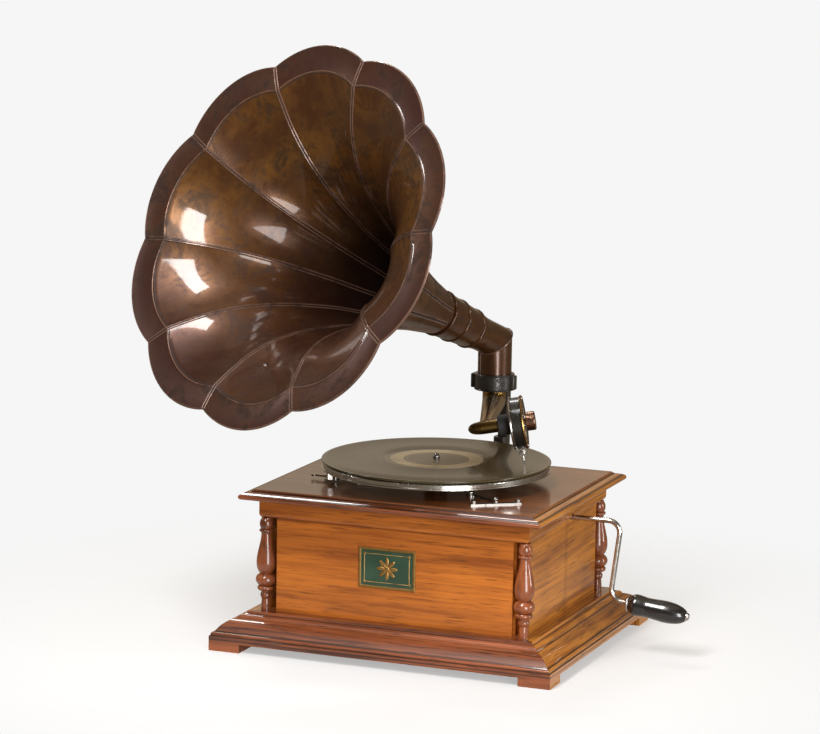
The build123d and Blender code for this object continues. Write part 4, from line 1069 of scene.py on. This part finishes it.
class PHONO_OT_motor(bpy.types.Operator):
    """Spring motor inside the case"""
    bl_idname = "phono.motor"
    bl_label = "Motor"

    def execute(self, context):
        metal = context.scene.phono_metal
        steel = plated("motor_steel", MOTOR_STEEL, 0.35, 0.6, (0.07, 0.05, 0.03), 40.0)
        dress(("motor_plates", "motor_pillars", "spring_barrel", "mainspring", "winding_arbor",
               "winding_shaft", "motor_brackets", "layshaft", "governor_shaft"), steel)
        dress(("governor_weights",), plated("governor_brass", metal.brass, 0.25, 0.4))
        return {"FINISHED"}


# ------------------------------------------------------------------ stage
WHITE = (1.0, 1.0, 1.0)
WARM = (1.0, 0.83, 0.62)
LAMPS = (("front", -10, 50, 1.9, (0.40, 1.10), 38, WHITE),
         ("eye_side", 42, -2, 1.9, (0.66, 1.15), 26, WHITE),
         ("left", -79, 22, 1.8, (0.12, 0.12), 1.6, WHITE),
         ("right", 96, 4, 1.8, (0.24, 0.80), 10, WHITE),
         ("overhead", 0, 89, 2.4, (2.4, 2.4), 6, WARM),
         ("back", -140, 50, 2.0, (0.9, 0.16), 11, WHITE),
         ("behind", -154, 13, 2.2, (2.0, 0.7), 1.5, WARM))


class PHONO_OT_stage(bpy.types.Operator):
    """Pale floor, soft studio light and the camera"""
    bl_idname = "phono.stage"
    bl_label = "Stage"

    def execute(self, context):
        looks = context.scene.phono_stage
        scene = context.scene
        scene.view_settings.view_transform = "Standard"
        floor = Finish("stage_floor", Roughness=0.9, Base_Color=tuple(looks.floor),
                       Specular_IOR_Level=0.0)
        away = floor.node("ShaderNodeVectorMath", {"operation": "LENGTH"},
                          {0: floor.place((1, 1, 0))}, 1)
        floor.feed(Alpha=away.step(looks.reach, 0.20) * 0.55)
        bm = bmesh.new()
        bmesh.ops.create_circle(bm, cap_ends=True, segments=96, radius=looks.reach)
        mesh = bpy.data.meshes.new("floor")
        bm.to_mesh(mesh)
        bm.free()
        mesh.materials.append(floor.material)
        plane = bpy.data.objects.new("floor", mesh)
        scene.collection.objects.link(plane)
        self.sky(scene, looks)
        for name, bearing, height, distance, sides, power, tint in LAMPS:
            self.lamp(name, radians(bearing), radians(height), distance, sides, power, tint)
        self.camera(scene, looks)
        return {"FINISHED"}

    @staticmethod
    def sky(scene, looks):
        """A pale backdrop for the eye and a dim surround for everything else."""
        world = bpy.data.worlds.new("surround")
        world.use_nodes = True
        tree = world.node_tree
        ground = tree.nodes["Background"]
        path = tree.nodes.new("ShaderNodeLightPath")
        shade = tree.nodes.new("ShaderNodeMix")
        shade.data_type = "RGBA"
        shade.inputs[6].default_value = (*looks.surround, 1.0)
        shade.inputs[7].default_value = (looks.backdrop,) * 3 + (1.0,)
        tree.links.new(path.outputs["Is Camera Ray"], shade.inputs[0])
        tree.links.new(shade.outputs[2], ground.inputs["Color"])
        ground.inputs["Strength"].default_value = 1.0
        scene.world = world

    @staticmethod
    def lamp(name, bearing, height, distance, sides, power, tint):
        """A soft rectangular light; bearings run from the front to the right."""
        data = bpy.data.lights.new(name, "AREA")
        data.shape = "RECTANGLE"
        data.size, data.size_y = sides
        data.energy = power
        data.color = tint
        lamp = bpy.data.objects.new(name, data)
        bpy.context.scene.collection.objects.link(lamp)
        out = Vector((sin(bearing) * cos(height), -cos(bearing) * cos(height), sin(height)))
        lamp.location = Vector((0, 0, 0.3)) + out * distance
        lamp.rotation_euler = (-out).to_track_quat("-Z", "Y").to_euler()

    @staticmethod
    def camera(scene, looks):
        """The viewer's eye."""
        a, e, r = looks.eye_turn, looks.eye_dip, looks.eye_roll
        ahead = Vector((-sin(a) * cos(e), cos(a) * cos(e), -sin(e)))
        level = ahead.cross(UP).normalized()
        above = level.cross(ahead)
        right = level * cos(r) + above * sin(r)
        up = above * cos(r) - level * sin(r)
        data = bpy.data.cameras.new("eye")
        data.sensor_fit = "HORIZONTAL"
        data.sensor_width = 36.0
        data.lens = looks.lens
        data.clip_end = 200.0
        eye = bpy.data.objects.new("eye", data)
        scene.collection.objects.link(eye)
        spot = Vector(looks.eye) + Vector((SPINDLE.x, SPINDLE.y, 0))
        turned = Matrix((right, up, -ahead)).transposed().to_4x4()
        eye.matrix_world = Matrix.Translation(spot) @ turned
        scene.camera = eye


class PHONO_PT_panel(bpy.types.Panel):
    """The phonograph's pieces"""
    bl_idname = "PHONO_PT_panel"
    bl_label = "Horn phonograph"
    bl_space_type = "VIEW_3D"
    bl_region_type = "UI"
    bl_category = "Phonograph"

    def draw(self, context):
        for operator in OPERATORS:
            self.layout.operator(operator.bl_idname)


LOOKS = (("phono_horn", HornLooks), ("phono_wood", WoodLooks), ("phono_disc", DiscLooks),
         ("phono_metal", MetalLooks), ("phono_stage", StageLooks))
OPERATORS = (PHONO_OT_case, PHONO_OT_badge, PHONO_OT_turntable, PHONO_OT_record,
             PHONO_OT_controls, PHONO_OT_crank, PHONO_OT_bracket, PHONO_OT_tonearm,
             PHONO_OT_sound_box, PHONO_OT_horn_petals, PHONO_OT_horn_seams, PHONO_OT_horn_neck,
             PHONO_OT_motor, PHONO_OT_stage)


def register():
    """Make the classes known and hang their properties on the scene."""
    for name, group in LOOKS:
        bpy.utils.register_class(group)
        setattr(bpy.types.Scene, name, PointerProperty(type=group))
    for operator in OPERATORS:
        bpy.utils.register_class(operator)
    bpy.utils.register_class(PHONO_PT_panel)


def unregister():
    """Undo register."""
    bpy.utils.unregister_class(PHONO_PT_panel)
    for operator in reversed(OPERATORS):
        bpy.utils.unregister_class(operator)
    for name, group in reversed(LOOKS):
        delattr(bpy.types.Scene, name)
        bpy.utils.unregister_class(group)


def main():
    """Make the classes known and build every piece."""
    register()
    for operator in OPERATORS:
        area, name = operator.bl_idname.split(".")
        getattr(getattr(bpy.ops, area), name)()


if __name__ == "__main__":
    main()
